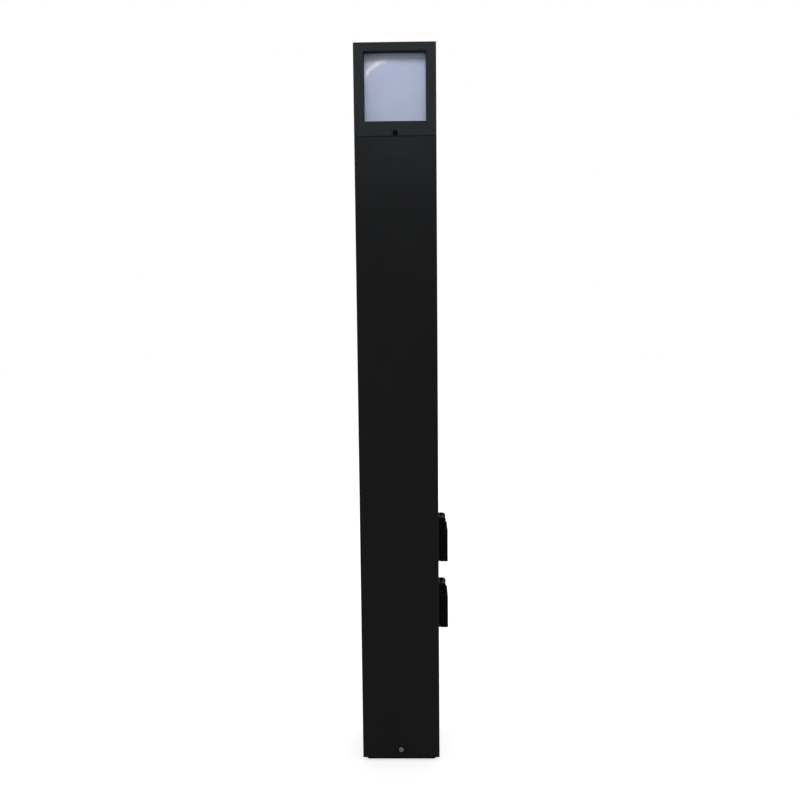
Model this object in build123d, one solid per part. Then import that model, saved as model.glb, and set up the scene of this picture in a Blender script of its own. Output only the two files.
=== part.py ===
from build123d import *
from math import cos, pi, radians, sin, sqrt, tan
import os

# Garden socket post: a square column on a cast foot, with a lamp head on top and two
# lidded sockets, one above the other, on its right side. Millimetres, +Z up, the
# window faces -Y and the sockets face +X. The origin is the centre of the foot's
# underside.

# Post
POST_WIDTH = 110.0
POST_HEIGHT = 1000.0
POST_WALL = 3.0
POST_CORNER_R = 1.0
PORT_SIZE = 9.0
HEAD_HEIGHT = 121.0

# Fits and cuts that every piece shares
OVERRUN = 1.0
SEAT_GAP = 0.3
THREAD_GAP = 0.05
HOLE_GAP = 0.25
RUNNING_GAP = 0.06

# Screws: shank radius, head radius, head height, key width, key depth
M4_R = 2.0
M4_HEAD_R = 3.8
M4_HEAD_H = 2.2
M4_KEY = 2.5
M4_KEY_DEPTH = 1.3
M3_R = 1.5
M3_HEAD_R = 2.75
M3_HEAD_H = 1.65
M3_KEY = 2.0
M3_KEY_DEPTH = 0.9
M25_R = 1.25
M25_HEAD_R = 2.2
M25_HEAD_H = 1.4
M25_KEY = 1.5
M25_KEY_DEPTH = 0.8
M4 = (M4_R, M4_HEAD_R, M4_HEAD_H, M4_KEY, M4_KEY_DEPTH)
M3 = (M3_R, M3_HEAD_R, M3_HEAD_H, M3_KEY, M3_KEY_DEPTH)
M25 = (M25_R, M25_HEAD_R, M25_HEAD_H, M25_KEY, M25_KEY_DEPTH)
BUTTON_ROUND_SHARE = 0.8
PAN_ROUND_SHARE = 0.35

# Foot
FOOT_INSET = 5.2
FOOT_THICK = 5.0
FOOT_CHAMFER = 0.6
FOOT_CORNER_R = 4.0
LUG_WIDTH = 30.0
LUG_THICK = 6.0
LUG_RISE = 21.0
GUSSET_SIZE = 8.0
GUSSET_THICK = 3.0
FOOT_SCREW_Z = 17.0
FOOT_SCREW_LENGTH = 9.0
BOLT_SPACING = 66.0
BOLT_HOLE_R = 4.5
HUB_R = 20.0
HUB_RISE = 4.0
HUB_GAP = 2.0
CABLE_HOLE_R = 15.0
GROMMET_BORE_R = 6.0
GROMMET_FLANGE_R = 18.0
GROMMET_FLANGE_THICK = 2.0
GROMMET_INSET = 1.0

# Terminal bracket, block and earthing point
SHEET = 2.0
BRACKET_WIDTH = 48.0
BRACKET_TOP = 150.0
BRACKET_FOOT = 15.0
BRACKET_LUG_GAP = 0.7
BRACKET_SCREW_SPACING = 28.0
BRACKET_SCREW_DEPTH = 4.0
BLOCK_WIDTH = 46.0
BLOCK_DEPTH = 16.0
BLOCK_HEIGHT = 22.0
BLOCK_Z = 106.0
POLE_PITCH = 13.0
BARREL_R = 3.0
BARREL_LENGTH = 18.0
CLAMP_SCREW_OFFSET = 5.0
CLAMP_SCREW_INSET = 1.0
BLOCK_SCREW_SINK = 2.0
STUD_R = 2.5
STUD_X = 15.0
STUD_Z = 45.0
STUD_LENGTH = 14.0
NUT_WIDTH = 8.0
NUT_HEIGHT = 4.0
LUG_RING_R = 5.0
LUG_SHEET = 1.0
LUG_TONGUE_WIDTH = 4.4
LUG_NECK = 8.0
LUG_BARREL_R = 2.2
LUG_BARREL_LENGTH = 8.0
LUG_BARREL_SINK = 0.3

# Wires
WIRE_R = 1.4
WIRE_HOLE_R = 1.7
WIRE_INSERT = 3.0
WIRE_CLAMP_REACH = 2.0
THIN_WIRE_R = 0.8
RISER_X = 2.0
RISER_STEP = 10.0
BRACKET_CLEARANCE = 13.0
CLIP_LEAD = 50.0
BUSH_LEAD = 10.0
BEND_SHARE = 0.45
CLIP_SHARES = (0.21, 0.51, 0.81)
CLIP_WIDTH = 14.0
CLIP_TALL = 10.0
CLIP_DEPTH = 7.5
CLIP_WIRE_Y = 3.0
CLIP_WIRE_DEPTH = 4.5
CLIP_BORE_GAP = 0.1

# Head carrier
RIM_THICK = 1.0
RIM_INSET = 1.0
CARRIER_THICK = 2.0
CARRIER_LUG_WIDTH = 24.0
CARRIER_LUG_THICK = 7.0
CARRIER_LUG_RISE = 9.0
HEAD_SCREW_RISE = 3.9
HEAD_SCREW_LENGTH = 9.0
CARRIER_SCREW_LENGTH = 16.0
BUSH_HOLE_R = 8.0
BUSH_FLANGE_R = 10.0
BUSH_FLANGE_THICK = 1.5
BUSH_BEHIND = 11.0

# Head housing and window
WINDOW_MARGIN = 13.0
WINDOW_LINTEL = 11.0
WINDOW_SILL = 19.0
WINDOW_CORNER_R = 1.2
COLLAR_DEPTH = 18.0
COLLAR_WALL = 3.0
BOSS_R = 4.0
BOSS_INSET_Z = 8.0
BOSS_SINK = 0.5
BOSS_SCREW_DEPTH = 8.0

# Diffuser pack
GASKET_THICK = 1.5
LENS_LIP = 2.0
LENS_FLANGE = 2.0
LENS_WALL = 2.0
LENS_SPHERE_R = 1200.0
LENS_RISE = 6.6
LENS_EDGE_R = 1.0
FRAME_THICK = 2.0
FRAME_COVER = 2.0
FRAME_REACH_Z = 5.0
FRAME_SIDE_GAP = 0.6

# Lamp parts
LAMP_BRACKET_GAP = 10.0
LAMP_BRACKET_FACE = 33.0
LAMP_BRACKET_FOOT = 18.0
LAMP_BRACKET_HEADROOM = 12.0
LAMP_SCREW_SPACING = 44.0
BOARD_INSET_X = 7.0
BOARD_INSET_Z = 10.5
BOARD_THICK = 1.6
BOARD_SCREW_INSET = 4.0
CHIP_SIZE = 5.0
CHIP_THICK = 0.8
CHIP_MARGIN = 12.5
CHIPS_A_SIDE = 4
DRIVER_EDGE_GAP = 4.0
DRIVER_DEPTH = 24.0
DRIVER_TALL = 50.0
DRIVER_RISE = 14.0
DRIVER_EDGE_R = 2.0
DRIVER_TAB = 10.0
DRIVER_TAB_TALL = 14.0
LED_WIRE_Y_GAP = 12.0
LED_WIRE_RISE = 4.0
LED_WIRE_OUT = 4.0
LED_WIRE_DROP = 6.5

# Sockets: the lower well's height and the upper one's rise over it, and the flange, well
# and hinge of each. Inside a socket X is measured outwards from the post's face and Z
# from the well's axis.
LOWER_WELL_Z = 211.5
WELL_SPACING = 98.0
SEAL_THICK = 0.7
FLANGE_LEDGE = 4.0
FLANGE_RIM = 1.3
FLANGE_SLAB = 2.0
FLANGE_CHAMFER = 0.6
FLANGE_CORNER_R = 2.0
FLANGE_SCREW_INSET = 7.0
FLANGE_SCREW_LENGTH = 7.5
COUNTERSUNK_H = 1.6
WELL_R = 19.5
WELL_WALL = 1.3
WELL_DEPTH = 17.5
WELL_FLOOR = 2.5
COLLAR_RISE = 2.0
CUTOUT_GAP = 0.4
PIN_PITCH = 19.0
PIN_HOLE_R = 2.7
GUIDE_WIDTH = 6.0
GUIDE_HEIGHT = 1.8

# Contact carrier
CARRIER_DEPTH = 19.0
CARRIER_WIDTH = 35.0
CARRIER_TALL = 24.0
SLEEVE_R = 3.1
SLEEVE_WALL = 0.7
SLEEVE_LENGTH = 15.0
SLEEVE_SLIT = 0.8
SLEEVE_SLIT_LENGTH = 10.0
TERMINAL_Z = 6.0
TERMINAL_SCREW_DEPTH = 1.5
TERMINAL_SCREW_LENGTH = 4.0
TERMINAL_HEAD_R = 2.6
TERMINAL_HEAD_H = 1.6
EARTH_WIDTH = 4.0
EARTH_SHEET = 0.8
EARTH_ARM_INSET = 1.7
EARTH_ARM_REACH = 14.0
EARTH_GAP = 0.2
CARRIER_FIX_INSET_Y = 2.9
CARRIER_FIX_INSET_Z = 3.0
CARRIER_FIX_BITE = 1.5

# Lid
LID_SIDE_GAP = 2.6
LID_END_GAP = 1.3
LID_FACE = 13.7
LID_SIDE = 1.6
LID_TOP = 2.2
LID_EDGE_R = 1.5
LID_FACE_R = 0.5
LID_SEAL_THICK = 2.0
LID_SEAL_WIDTH = 2.6
NUB_R = 1.0
NUB_PROUD = 0.4
NUB_DROP = 17.0

# Hinge and spring
HINGE_X = 6.9
HINGE_RISE = 11.2
HINGE_WIDTH = 28.0
HINGE_R = 4.5
EAR_WIDTH = 3.5
EAR_WEB_ANGLE = 45.0
BACK_PLATE = 1.6
KNUCKLE_R = 4.0
PIN_R = 1.5
NECK_INSIDE = 5.2
SPRING_WIRE_R = 0.4
SPRING_COIL_R = 2.4
SPRING_PITCH = 1.3
SPRING_QUARTERS = 21
SPRING_POCKET_GAP = 0.3
SPRING_POCKET_WIDTH = 10.4
SPRING_LEDGE = 6.0

# Places that follow from the sizes above
HALF = POST_WIDTH / 2
INNER = HALF - POST_WALL
COLUMN_TOP = POST_HEIGHT - HEAD_HEIGHT - RIM_THICK
HEAD_BOTTOM = COLUMN_TOP + RIM_THICK
PORT_CENTRE = INNER - PORT_SIZE / 2
GUIDE_FACE = INNER - SEAT_GAP
FOOT_WIDTH = POST_WIDTH - 2 * FOOT_INSET
CARRIER_TOP = HEAD_BOTTOM + CARRIER_THICK
HEAD_SCREW_Z = HEAD_BOTTOM + HEAD_SCREW_RISE
WINDOW_WIDTH = POST_WIDTH - 2 * WINDOW_MARGIN
WINDOW_HEIGHT = HEAD_HEIGHT - WINDOW_SILL - WINDOW_LINTEL
WINDOW_BOTTOM = HEAD_BOTTOM + WINDOW_SILL
WINDOW_Z = WINDOW_BOTTOM + WINDOW_HEIGHT / 2
COLLAR_END = COLLAR_DEPTH - HALF
LENS_FLANGE_Y = COLLAR_END + GASKET_THICK
FRAME_Y = LENS_FLANGE_Y + LENS_FLANGE
BOSS_X = INNER - BOSS_R + BOSS_SINK
BOSS_SPREAD_Z = WINDOW_HEIGHT / 2 - BOSS_INSET_Z
LAMP_FACE_Y = LAMP_BRACKET_FACE - HALF
LAMP_BACK_Y = LAMP_FACE_Y + SHEET
LAMP_BRACKET_WIDTH = 2 * (INNER - LAMP_BRACKET_GAP)
LAMP_BRACKET_TALL = HEAD_HEIGHT - POST_WALL - CARRIER_THICK - LAMP_BRACKET_HEADROOM
BUSH_Y = LAMP_BACK_Y + BUSH_BEHIND
BOARD_FACE_Y = LAMP_FACE_Y - BOARD_THICK
BOARD_WIDTH = WINDOW_WIDTH - 2 * BOARD_INSET_X
BOARD_TALL = WINDOW_HEIGHT - 2 * BOARD_INSET_Z
DRIVER_Z = CARRIER_TOP + DRIVER_RISE
DRIVER_WIDTH = LAMP_BRACKET_WIDTH - 2 * (DRIVER_TAB + DRIVER_EDGE_GAP)
LUG_BACK = GUIDE_FACE - LUG_THICK
BRACKET_FACE_Y = LUG_BACK - GUSSET_SIZE - BRACKET_LUG_GAP - BRACKET_FOOT
HUB_Y = BRACKET_FACE_Y - HUB_GAP - HUB_R
BLOCK_FACE_Y = BRACKET_FACE_Y - BLOCK_DEPTH
BLOCK_MID_Y = BRACKET_FACE_Y - BLOCK_DEPTH / 2
WELL_HEIGHTS = {"upper": LOWER_WELL_Z + WELL_SPACING, "lower": LOWER_WELL_Z}
CLIP_HEIGHTS = [WELL_HEIGHTS["upper"] + share * (COLUMN_TOP - WELL_HEIGHTS["upper"])
                for share in CLIP_SHARES]
RIM_X = SEAL_THICK + FLANGE_RIM
SLAB_X = RIM_X + FLANGE_SLAB
COLLAR_X = SLAB_X + COLLAR_RISE
FLOOR_X = COLLAR_X - WELL_DEPTH
FLOOR_BACK = FLOOR_X - WELL_FLOOR
CARRIER_BACK = FLOOR_BACK - CARRIER_DEPTH
WELL_OUTER_R = WELL_R + WELL_WALL
EARTH_ARM_Z = WELL_R - EARTH_ARM_INSET
CARRIER_FIX_Y = CARRIER_WIDTH / 2 - CARRIER_FIX_INSET_Y
CARRIER_FIX_Z = CARRIER_TALL / 2 - CARRIER_FIX_INSET_Z
LID_WIDTH = 2 * (WELL_OUTER_R + LID_SIDE_GAP + LID_SIDE)
LID_HEIGHT = 2 * (WELL_OUTER_R + LID_END_GAP + LID_SIDE)
FLANGE_WIDTH = LID_WIDTH
FLANGE_RISE = LID_HEIGHT / 2 + FLANGE_LEDGE
FLANGE_SCREW_REACH = FLANGE_WIDTH / 2 - FLANGE_SCREW_INSET
HINGE_Z = LID_HEIGHT / 2 + HINGE_RISE
LID_BACK = RIM_X + SEAT_GAP
LID_INSIDE = LID_FACE - LID_TOP
CENTRE_BOTTOM = (Align.CENTER, Align.CENTER, Align.MIN)
CENTRE_TOP = (Align.CENTER, Align.CENTER, Align.MAX)
SIGNS = (-1, 1)


def block(low, high):
    """Box between two corners."""
    sizes = [b - a for a, b in zip(low, high)]
    return Pos(*low) * Box(*sizes, align=(Align.MIN, Align.MIN, Align.MIN))


def rod(start, direction, radius, length):
    """Cylinder that starts at a point and runs along a direction."""
    return Plane(origin=start, z_dir=direction) * Cylinder(radius, length, align=CENTRE_BOTTOM)


def screw(size, length, form="pan"):
    """Screw along Z: its head stands on z = 0, or is sunk below it, and its shank runs down."""
    shank_r, head_r, head_h, key, key_depth = size
    shank = Cylinder(shank_r, length, align=CENTRE_TOP)
    if form == "countersunk":
        head = Cone(shank_r, head_r, COUNTERSUNK_H, align=CENTRE_TOP)
        top = 0
    else:
        share = BUTTON_ROUND_SHARE if form == "button" else PAN_ROUND_SHARE
        head = Cylinder(head_r, head_h, align=CENTRE_BOTTOM)
        head = fillet(head.edges().group_by(Axis.Z)[-1], head_h * share)
        top = head_h
    recess = extrude(RegularPolygon(key / 2, 6, major_radius=False), -key_depth)
    return head + shank - Pos(0, 0, top) * recess


def placed_screws(size, length, seats, outward, form="pan"):
    """The same screw at each seat, with its head facing outward."""
    one = screw(size, length, form)
    return [Plane(origin=seat, z_dir=outward) * one for seat in seats]


def cord_radii(points):
    """Bend radius at each inner point of a route, as large as its two runs allow."""
    radii = []
    for before, here, after in zip(points, points[1:], points[2:]):
        run_in, run_out = here - before, after - here
        half_turn = radians(run_in.get_angle(run_out)) / 2
        radii.append(BEND_SHARE * min(run_in.length, run_out.length) / tan(half_turn))
    return radii


def wire(name, radius, *route):
    """Round wire along straight runs joined by tangent arcs."""
    points = [Vector(*p) for p in route]
    radii = cord_radii(points)
    path = FilletPolyline(*points, radius=radii)
    tube = sweep(Plane(origin=points[0], z_dir=points[1] - points[0]) * Circle(radius), path=path)
    share = tube.volume / (pi * radius**2 * path.length)
    print(f"{name}: radii {[round(r, 1) for r in radii]}, volume share {share:.4f}")
    return tube


def save(name, *solids):
    """Write one node: a single piece, or a group of separate solids."""
    shape = solids[0] if len(solids) == 1 else Compound(children=list(solids))
    export_step(shape, f"parts/{name}.step")


# Foot

def foot_plate():
    """Cast foot: square pad, hub for the cable and four lugs inside the column."""
    pad = extrude(RectangleRounded(FOOT_WIDTH, FOOT_WIDTH, FOOT_CORNER_R), FOOT_THICK)
    pad = chamfer(pad.edges().group_by(Axis.Z)[0], FOOT_CHAMFER)
    foot = pad + rod((0, HUB_Y, 0), (0, 0, 1), HUB_R, FOOT_THICK + HUB_RISE)
    for quarter in range(4):
        foot += Rot(0, 0, 90 * quarter) * foot_lug()
    for side in SIGNS:
        thread = rod((0, side * LUG_BACK, FOOT_SCREW_Z), (0, side, 0), M4_R + THREAD_GAP,
                     LUG_THICK + OVERRUN)
        foot -= Pos(0, -side * OVERRUN, 0) * thread
        for other in SIGNS:
            at = (side * BOLT_SPACING / 2, other * BOLT_SPACING / 2, -OVERRUN)
            foot -= rod(at, (0, 0, 1), BOLT_HOLE_R, FOOT_THICK + 2 * OVERRUN)
    for x, y in bracket_screw_places():
        foot -= rod((x, y, FOOT_THICK - BRACKET_SCREW_DEPTH - THREAD_GAP), (0, 0, 1),
                    M4_R + THREAD_GAP, BRACKET_SCREW_DEPTH + OVERRUN)
    bore = rod((0, HUB_Y, -OVERRUN), (0, 0, 1), CABLE_HOLE_R, FOOT_THICK + HUB_RISE + 2 * OVERRUN)
    return foot - bore


def foot_lug():
    """One upright lug at the front of the foot, with its two gussets."""
    lug = block((-LUG_WIDTH / 2, -GUIDE_FACE, FOOT_THICK),
                (LUG_WIDTH / 2, -LUG_BACK, FOOT_THICK + LUG_RISE))
    # The lug's root reaches into the pad, so that the two are one casting
    lug += block((-LUG_WIDTH / 2, -FOOT_WIDTH / 2, FOOT_THICK - OVERRUN),
                 (LUG_WIDTH / 2, -LUG_BACK, FOOT_THICK))
    outline = Polyline((-LUG_BACK, FOOT_THICK), (GUSSET_SIZE - LUG_BACK, FOOT_THICK),
                       (-LUG_BACK, FOOT_THICK + GUSSET_SIZE), close=True)
    gusset = extrude(Plane.YZ * make_face(outline), GUSSET_THICK)
    edge = LUG_WIDTH / 2
    return lug + Pos(-edge, 0, 0) * gusset + Pos(edge - GUSSET_THICK, 0, 0) * gusset


def bracket_screw_places():
    """Where the terminal bracket is screwed to the foot."""
    y = BRACKET_FACE_Y + SHEET + (BRACKET_FOOT - SHEET) / 2
    return [(side * BRACKET_SCREW_SPACING / 2, y) for side in SIGNS]


def cable_grommet():
    """Rubber grommet in the foot's hub, open for the supply cable."""
    seat = FOOT_THICK + HUB_RISE
    body = Pos(0, 0, GROMMET_INSET) * Cylinder(CABLE_HOLE_R - SEAT_GAP, seat - GROMMET_INSET,
                                               align=CENTRE_BOTTOM)
    flange = Pos(0, 0, seat) * Cylinder(GROMMET_FLANGE_R, GROMMET_FLANGE_THICK, align=CENTRE_BOTTOM)
    bore = Cylinder(GROMMET_BORE_R, seat + GROMMET_FLANGE_THICK + OVERRUN, align=CENTRE_BOTTOM)
    return Pos(0, HUB_Y, 0) * (body + flange - bore)


# Column

def column_tube():
    """Extruded square column with a screw port in each inner corner."""
    section = RectangleRounded(POST_WIDTH, POST_WIDTH, POST_CORNER_R) - Rectangle(2 * INNER, 2 * INNER)
    for x in SIGNS:
        for y in SIGNS:
            port = Rectangle(PORT_SIZE, PORT_SIZE) - Circle(M4_R + THREAD_GAP)
            section += Pos(x * PORT_CENTRE, y * PORT_CENTRE) * port
    tube = Pos(0, 0, FOOT_THICK) * extrude(section, COLUMN_TOP - FOOT_THICK)
    for side in SIGNS:
        tube -= rod((0, side * (INNER - OVERRUN), FOOT_SCREW_Z), (0, side, 0), M4_R + HOLE_GAP,
                    POST_WALL + 2 * OVERRUN)
    wall = POST_WALL + 2 * OVERRUN
    for z in WELL_HEIGHTS.values():
        tube -= rod((INNER - OVERRUN, 0, z), (1, 0, 0), WELL_OUTER_R + CUTOUT_GAP, wall)
        for dy, dz in flange_screw_places():
            tube -= rod((INNER - OVERRUN, dy, z + dz), (1, 0, 0), M3_R + THREAD_GAP, wall)
    return tube


def column_screws():
    """Stainless button screws that hold the column to the foot, front and back."""
    return [Plane(origin=(0, side * HALF, FOOT_SCREW_Z), z_dir=(0, side, 0))
            * screw(M4, FOOT_SCREW_LENGTH, "button") for side in SIGNS]


# Terminals and earthing

def terminal_bracket():
    """Bent sheet that stands on the foot and carries the terminals."""
    back = BRACKET_FACE_Y + SHEET
    sheet = block((-BRACKET_WIDTH / 2, BRACKET_FACE_Y, FOOT_THICK),
                  (BRACKET_WIDTH / 2, back, BRACKET_TOP))
    sheet += block((-BRACKET_WIDTH / 2, BRACKET_FACE_Y, FOOT_THICK),
                   (BRACKET_WIDTH / 2, BRACKET_FACE_Y + BRACKET_FOOT, FOOT_THICK + SHEET))
    for x, y in bracket_screw_places():
        sheet -= rod((x, y, FOOT_THICK - OVERRUN), (0, 0, 1), M4_R + HOLE_GAP, SHEET + 2 * OVERRUN)
    for x in SIGNS:
        sheet -= rod((x * POLE_PITCH / 2, BRACKET_FACE_Y - OVERRUN, BLOCK_Z), (0, 1, 0),
                     M3_R + THREAD_GAP, SHEET + 2 * OVERRUN)
    return sheet


def terminal_bracket_screws():
    """Two screws from the bracket's foot into the cast foot."""
    seats = [(x, y, FOOT_THICK + SHEET) for x, y in bracket_screw_places()]
    return placed_screws(M4, SHEET + BRACKET_SCREW_DEPTH, seats, (0, 0, 1))


def pole_places():
    """X of the live, earth and neutral poles."""
    return (-POLE_PITCH, 0, POLE_PITCH)


def terminal_block():
    """Moulded body of the terminal block, open for barrels, clamp screws and fixings."""
    low, high = BLOCK_Z - BLOCK_HEIGHT / 2, BLOCK_Z + BLOCK_HEIGHT / 2
    body = block((-BLOCK_WIDTH / 2, BLOCK_FACE_Y, low), (BLOCK_WIDTH / 2, BRACKET_FACE_Y, high))
    for x in pole_places():
        body -= rod((x, BLOCK_MID_Y, low - OVERRUN), (0, 0, 1), BARREL_R + THREAD_GAP,
                    BLOCK_HEIGHT + 2 * OVERRUN)
        for side in SIGNS:
            body -= rod((x, BLOCK_FACE_Y - OVERRUN, BLOCK_Z + side * CLAMP_SCREW_OFFSET), (0, 1, 0),
                        M3_R + HOLE_GAP, BLOCK_DEPTH / 2 + OVERRUN)
    for side in SIGNS:
        at = (side * POLE_PITCH / 2, BLOCK_FACE_Y - OVERRUN, BLOCK_Z)
        body -= rod(at, (0, 1, 0), M3_R + THREAD_GAP, BLOCK_DEPTH + 2 * OVERRUN)
        body -= rod(at, (0, 1, 0), M3_HEAD_R + HOLE_GAP, BLOCK_SCREW_SINK + OVERRUN)
    return body


def terminal_barrels():
    """Brass barrels of the three poles."""
    low = BLOCK_Z - BARREL_LENGTH / 2
    barrels = []
    for x in pole_places():
        barrel = rod((x, BLOCK_MID_Y, low), (0, 0, 1), BARREL_R, BARREL_LENGTH)
        barrel -= rod((x, BLOCK_MID_Y, low - OVERRUN), (0, 0, 1), WIRE_HOLE_R,
                      BARREL_LENGTH + 2 * OVERRUN)
        for side in SIGNS:
            barrel -= rod((x, BLOCK_FACE_Y, BLOCK_Z + side * CLAMP_SCREW_OFFSET), (0, 1, 0),
                          M3_R + THREAD_GAP, BLOCK_DEPTH / 2)
        barrels.append(barrel)
    return barrels


def clamp_screws():
    """Slotted grub screws of the poles, two to each barrel."""
    length = BLOCK_DEPTH / 2 - CLAMP_SCREW_INSET - WIRE_HOLE_R
    grub = Cylinder(M3_R, length, align=CENTRE_TOP)
    grub -= Box(2 * M3_R + OVERRUN, M3_KEY_DEPTH, M3_KEY_DEPTH, align=CENTRE_TOP)
    return [Plane(origin=(x, BLOCK_FACE_Y + CLAMP_SCREW_INSET, BLOCK_Z + side * CLAMP_SCREW_OFFSET),
                  x_dir=(1, 0, 0), z_dir=(0, -1, 0)) * grub
            for x in pole_places() for side in SIGNS]


def terminal_block_screws():
    """Two screws that fix the block to its bracket."""
    seats = [(side * POLE_PITCH / 2, BLOCK_FACE_Y + BLOCK_SCREW_SINK, BLOCK_Z) for side in SIGNS]
    return placed_screws(M3, BLOCK_DEPTH - BLOCK_SCREW_SINK + SHEET, seats, (0, -1, 0))


def earth_stud():
    """Earthing stud welded to the bracket's face."""
    return rod((STUD_X, BRACKET_FACE_Y, STUD_Z), (0, -1, 0), STUD_R, STUD_LENGTH)


def earth_nuts():
    """Nut and lock nut on the earthing stud."""
    section = RegularPolygon(NUT_WIDTH / 2, 6, major_radius=False) - Circle(STUD_R + THREAD_GAP)
    nut = extrude(section, NUT_HEIGHT)
    first = BRACKET_FACE_Y - LUG_SHEET
    return [Plane(origin=(STUD_X, first - n * NUT_HEIGHT, STUD_Z), z_dir=(0, -1, 0)) * nut
            for n in range(2)]


def lug_barrel_y():
    """Y of the ring lug's crimp barrel, which is brazed to the tongue."""
    return BRACKET_FACE_Y - LUG_SHEET - LUG_BARREL_R + LUG_BARREL_SINK


def earth_lug():
    """Ring lug on the stud, with its crimp barrel pointing up."""
    face = BRACKET_FACE_Y
    lug = rod((STUD_X, face, STUD_Z), (0, -1, 0), LUG_RING_R, LUG_SHEET)
    lug += block((STUD_X - LUG_TONGUE_WIDTH / 2, face - LUG_SHEET, STUD_Z),
                 (STUD_X + LUG_TONGUE_WIDTH / 2, face, STUD_Z + LUG_NECK + LUG_BARREL_LENGTH))
    lug += rod((STUD_X, lug_barrel_y(), STUD_Z + LUG_NECK), (0, 0, 1), LUG_BARREL_R, LUG_BARREL_LENGTH)
    return lug - rod((STUD_X, face + OVERRUN, STUD_Z), (0, -1, 0), STUD_R + THREAD_GAP,
                     LUG_SHEET + 2 * OVERRUN)


# Wires

def socket_terminals(well_z, side):
    """Y of the pole on this side, the Z of its lower and upper wire hole, and X of its end."""
    y = side * PIN_PITCH / 2
    return y, well_z - TERMINAL_Z, well_z + TERMINAL_Z, HALF + CARRIER_BACK + WIRE_INSERT


def pole_wires(name, pole_x, side):
    """Wires of one pole: block to lower socket, and lower to upper socket."""
    y, low_in, low_out, end_x = socket_terminals(WELL_HEIGHTS["lower"], side)
    up_in = WELL_HEIGHTS["upper"] - TERMINAL_Z
    start_z = BLOCK_Z + WIRE_CLAMP_REACH
    rise = BLOCK_Z + BLOCK_HEIGHT
    first = wire(name, WIRE_R, (pole_x, BLOCK_MID_Y, start_z), (pole_x, BLOCK_MID_Y, rise),
                 (RISER_X, y, BRACKET_TOP + BRACKET_CLEARANCE), (RISER_X, y, low_in), (end_x, y, low_in))
    second = wire(name, WIRE_R, (end_x, y, low_out), (RISER_X, y, low_out), (RISER_X, y, up_in),
                  (end_x, y, up_in))
    return [first, second]


def driver_wire(name, side):
    """Wire from the upper socket, up the wall through the clips, to the lamp's driver."""
    y, _, out, end_x = socket_terminals(WELL_HEIGHTS["upper"], side)
    clip_x = CLIP_WIRE_DEPTH - INNER
    clip_y = side * CLIP_WIRE_Y
    low = CLIP_HEIGHTS[0] - CLIP_LEAD
    high = CLIP_HEIGHTS[-1] + CLIP_LEAD
    top = COLUMN_TOP - BUSH_LEAD
    return wire(name, WIRE_R, (end_x, y, out), (RISER_X - RISER_STEP, y, out), (clip_x, clip_y, low),
                (clip_x, clip_y, high), (clip_y, BUSH_Y, top), (clip_y, BUSH_Y, DRIVER_Z + WIRE_INSERT))


def earth_wire_to_lug():
    """Wire from the middle pole down to the ring lug."""
    top = STUD_Z + LUG_NECK + LUG_BARREL_LENGTH
    low = BLOCK_Z - BLOCK_HEIGHT
    return wire("earth_wires", WIRE_R, (0, BLOCK_MID_Y, BLOCK_Z - WIRE_CLAMP_REACH),
                (0, BLOCK_MID_Y, low), (STUD_X, lug_barrel_y(), top + LUG_NECK),
                (STUD_X, lug_barrel_y(), top))


def cable_clips():
    """Saddles on the column's left wall that hold the two lamp wires."""
    clips = []
    for z in CLIP_HEIGHTS:
        clip = block((-INNER, -CLIP_WIDTH / 2, z - CLIP_TALL / 2),
                     (CLIP_DEPTH - INNER, CLIP_WIDTH / 2, z + CLIP_TALL / 2))
        for side in SIGNS:
            clip -= rod((CLIP_WIRE_DEPTH - INNER, side * CLIP_WIRE_Y, z - CLIP_TALL), (0, 0, 1),
                        WIRE_R + CLIP_BORE_GAP, 2 * CLIP_TALL)
        clips.append(clip)
    return clips


def led_wires():
    """Two thin wires from the driver over the bracket to the LED board."""
    start_y = LAMP_BACK_Y + LED_WIRE_Y_GAP
    front_y = BOARD_FACE_Y - LED_WIRE_OUT
    over = CARRIER_TOP + LAMP_BRACKET_TALL + LED_WIRE_RISE
    pad_z = WINDOW_Z + BOARD_TALL / 2 - LED_WIRE_DROP
    start_z = DRIVER_Z + DRIVER_TALL
    return [wire("led_wires", THIN_WIRE_R, (side * CLIP_WIRE_Y, start_y, start_z),
                 (side * CLIP_WIRE_Y, start_y, over), (side * CLIP_WIRE_Y, front_y, over),
                 (side * CLIP_WIRE_Y, front_y, pad_z), (side * CLIP_WIRE_Y, BOARD_FACE_Y, pad_z))
            for side in SIGNS]


# Head

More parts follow.
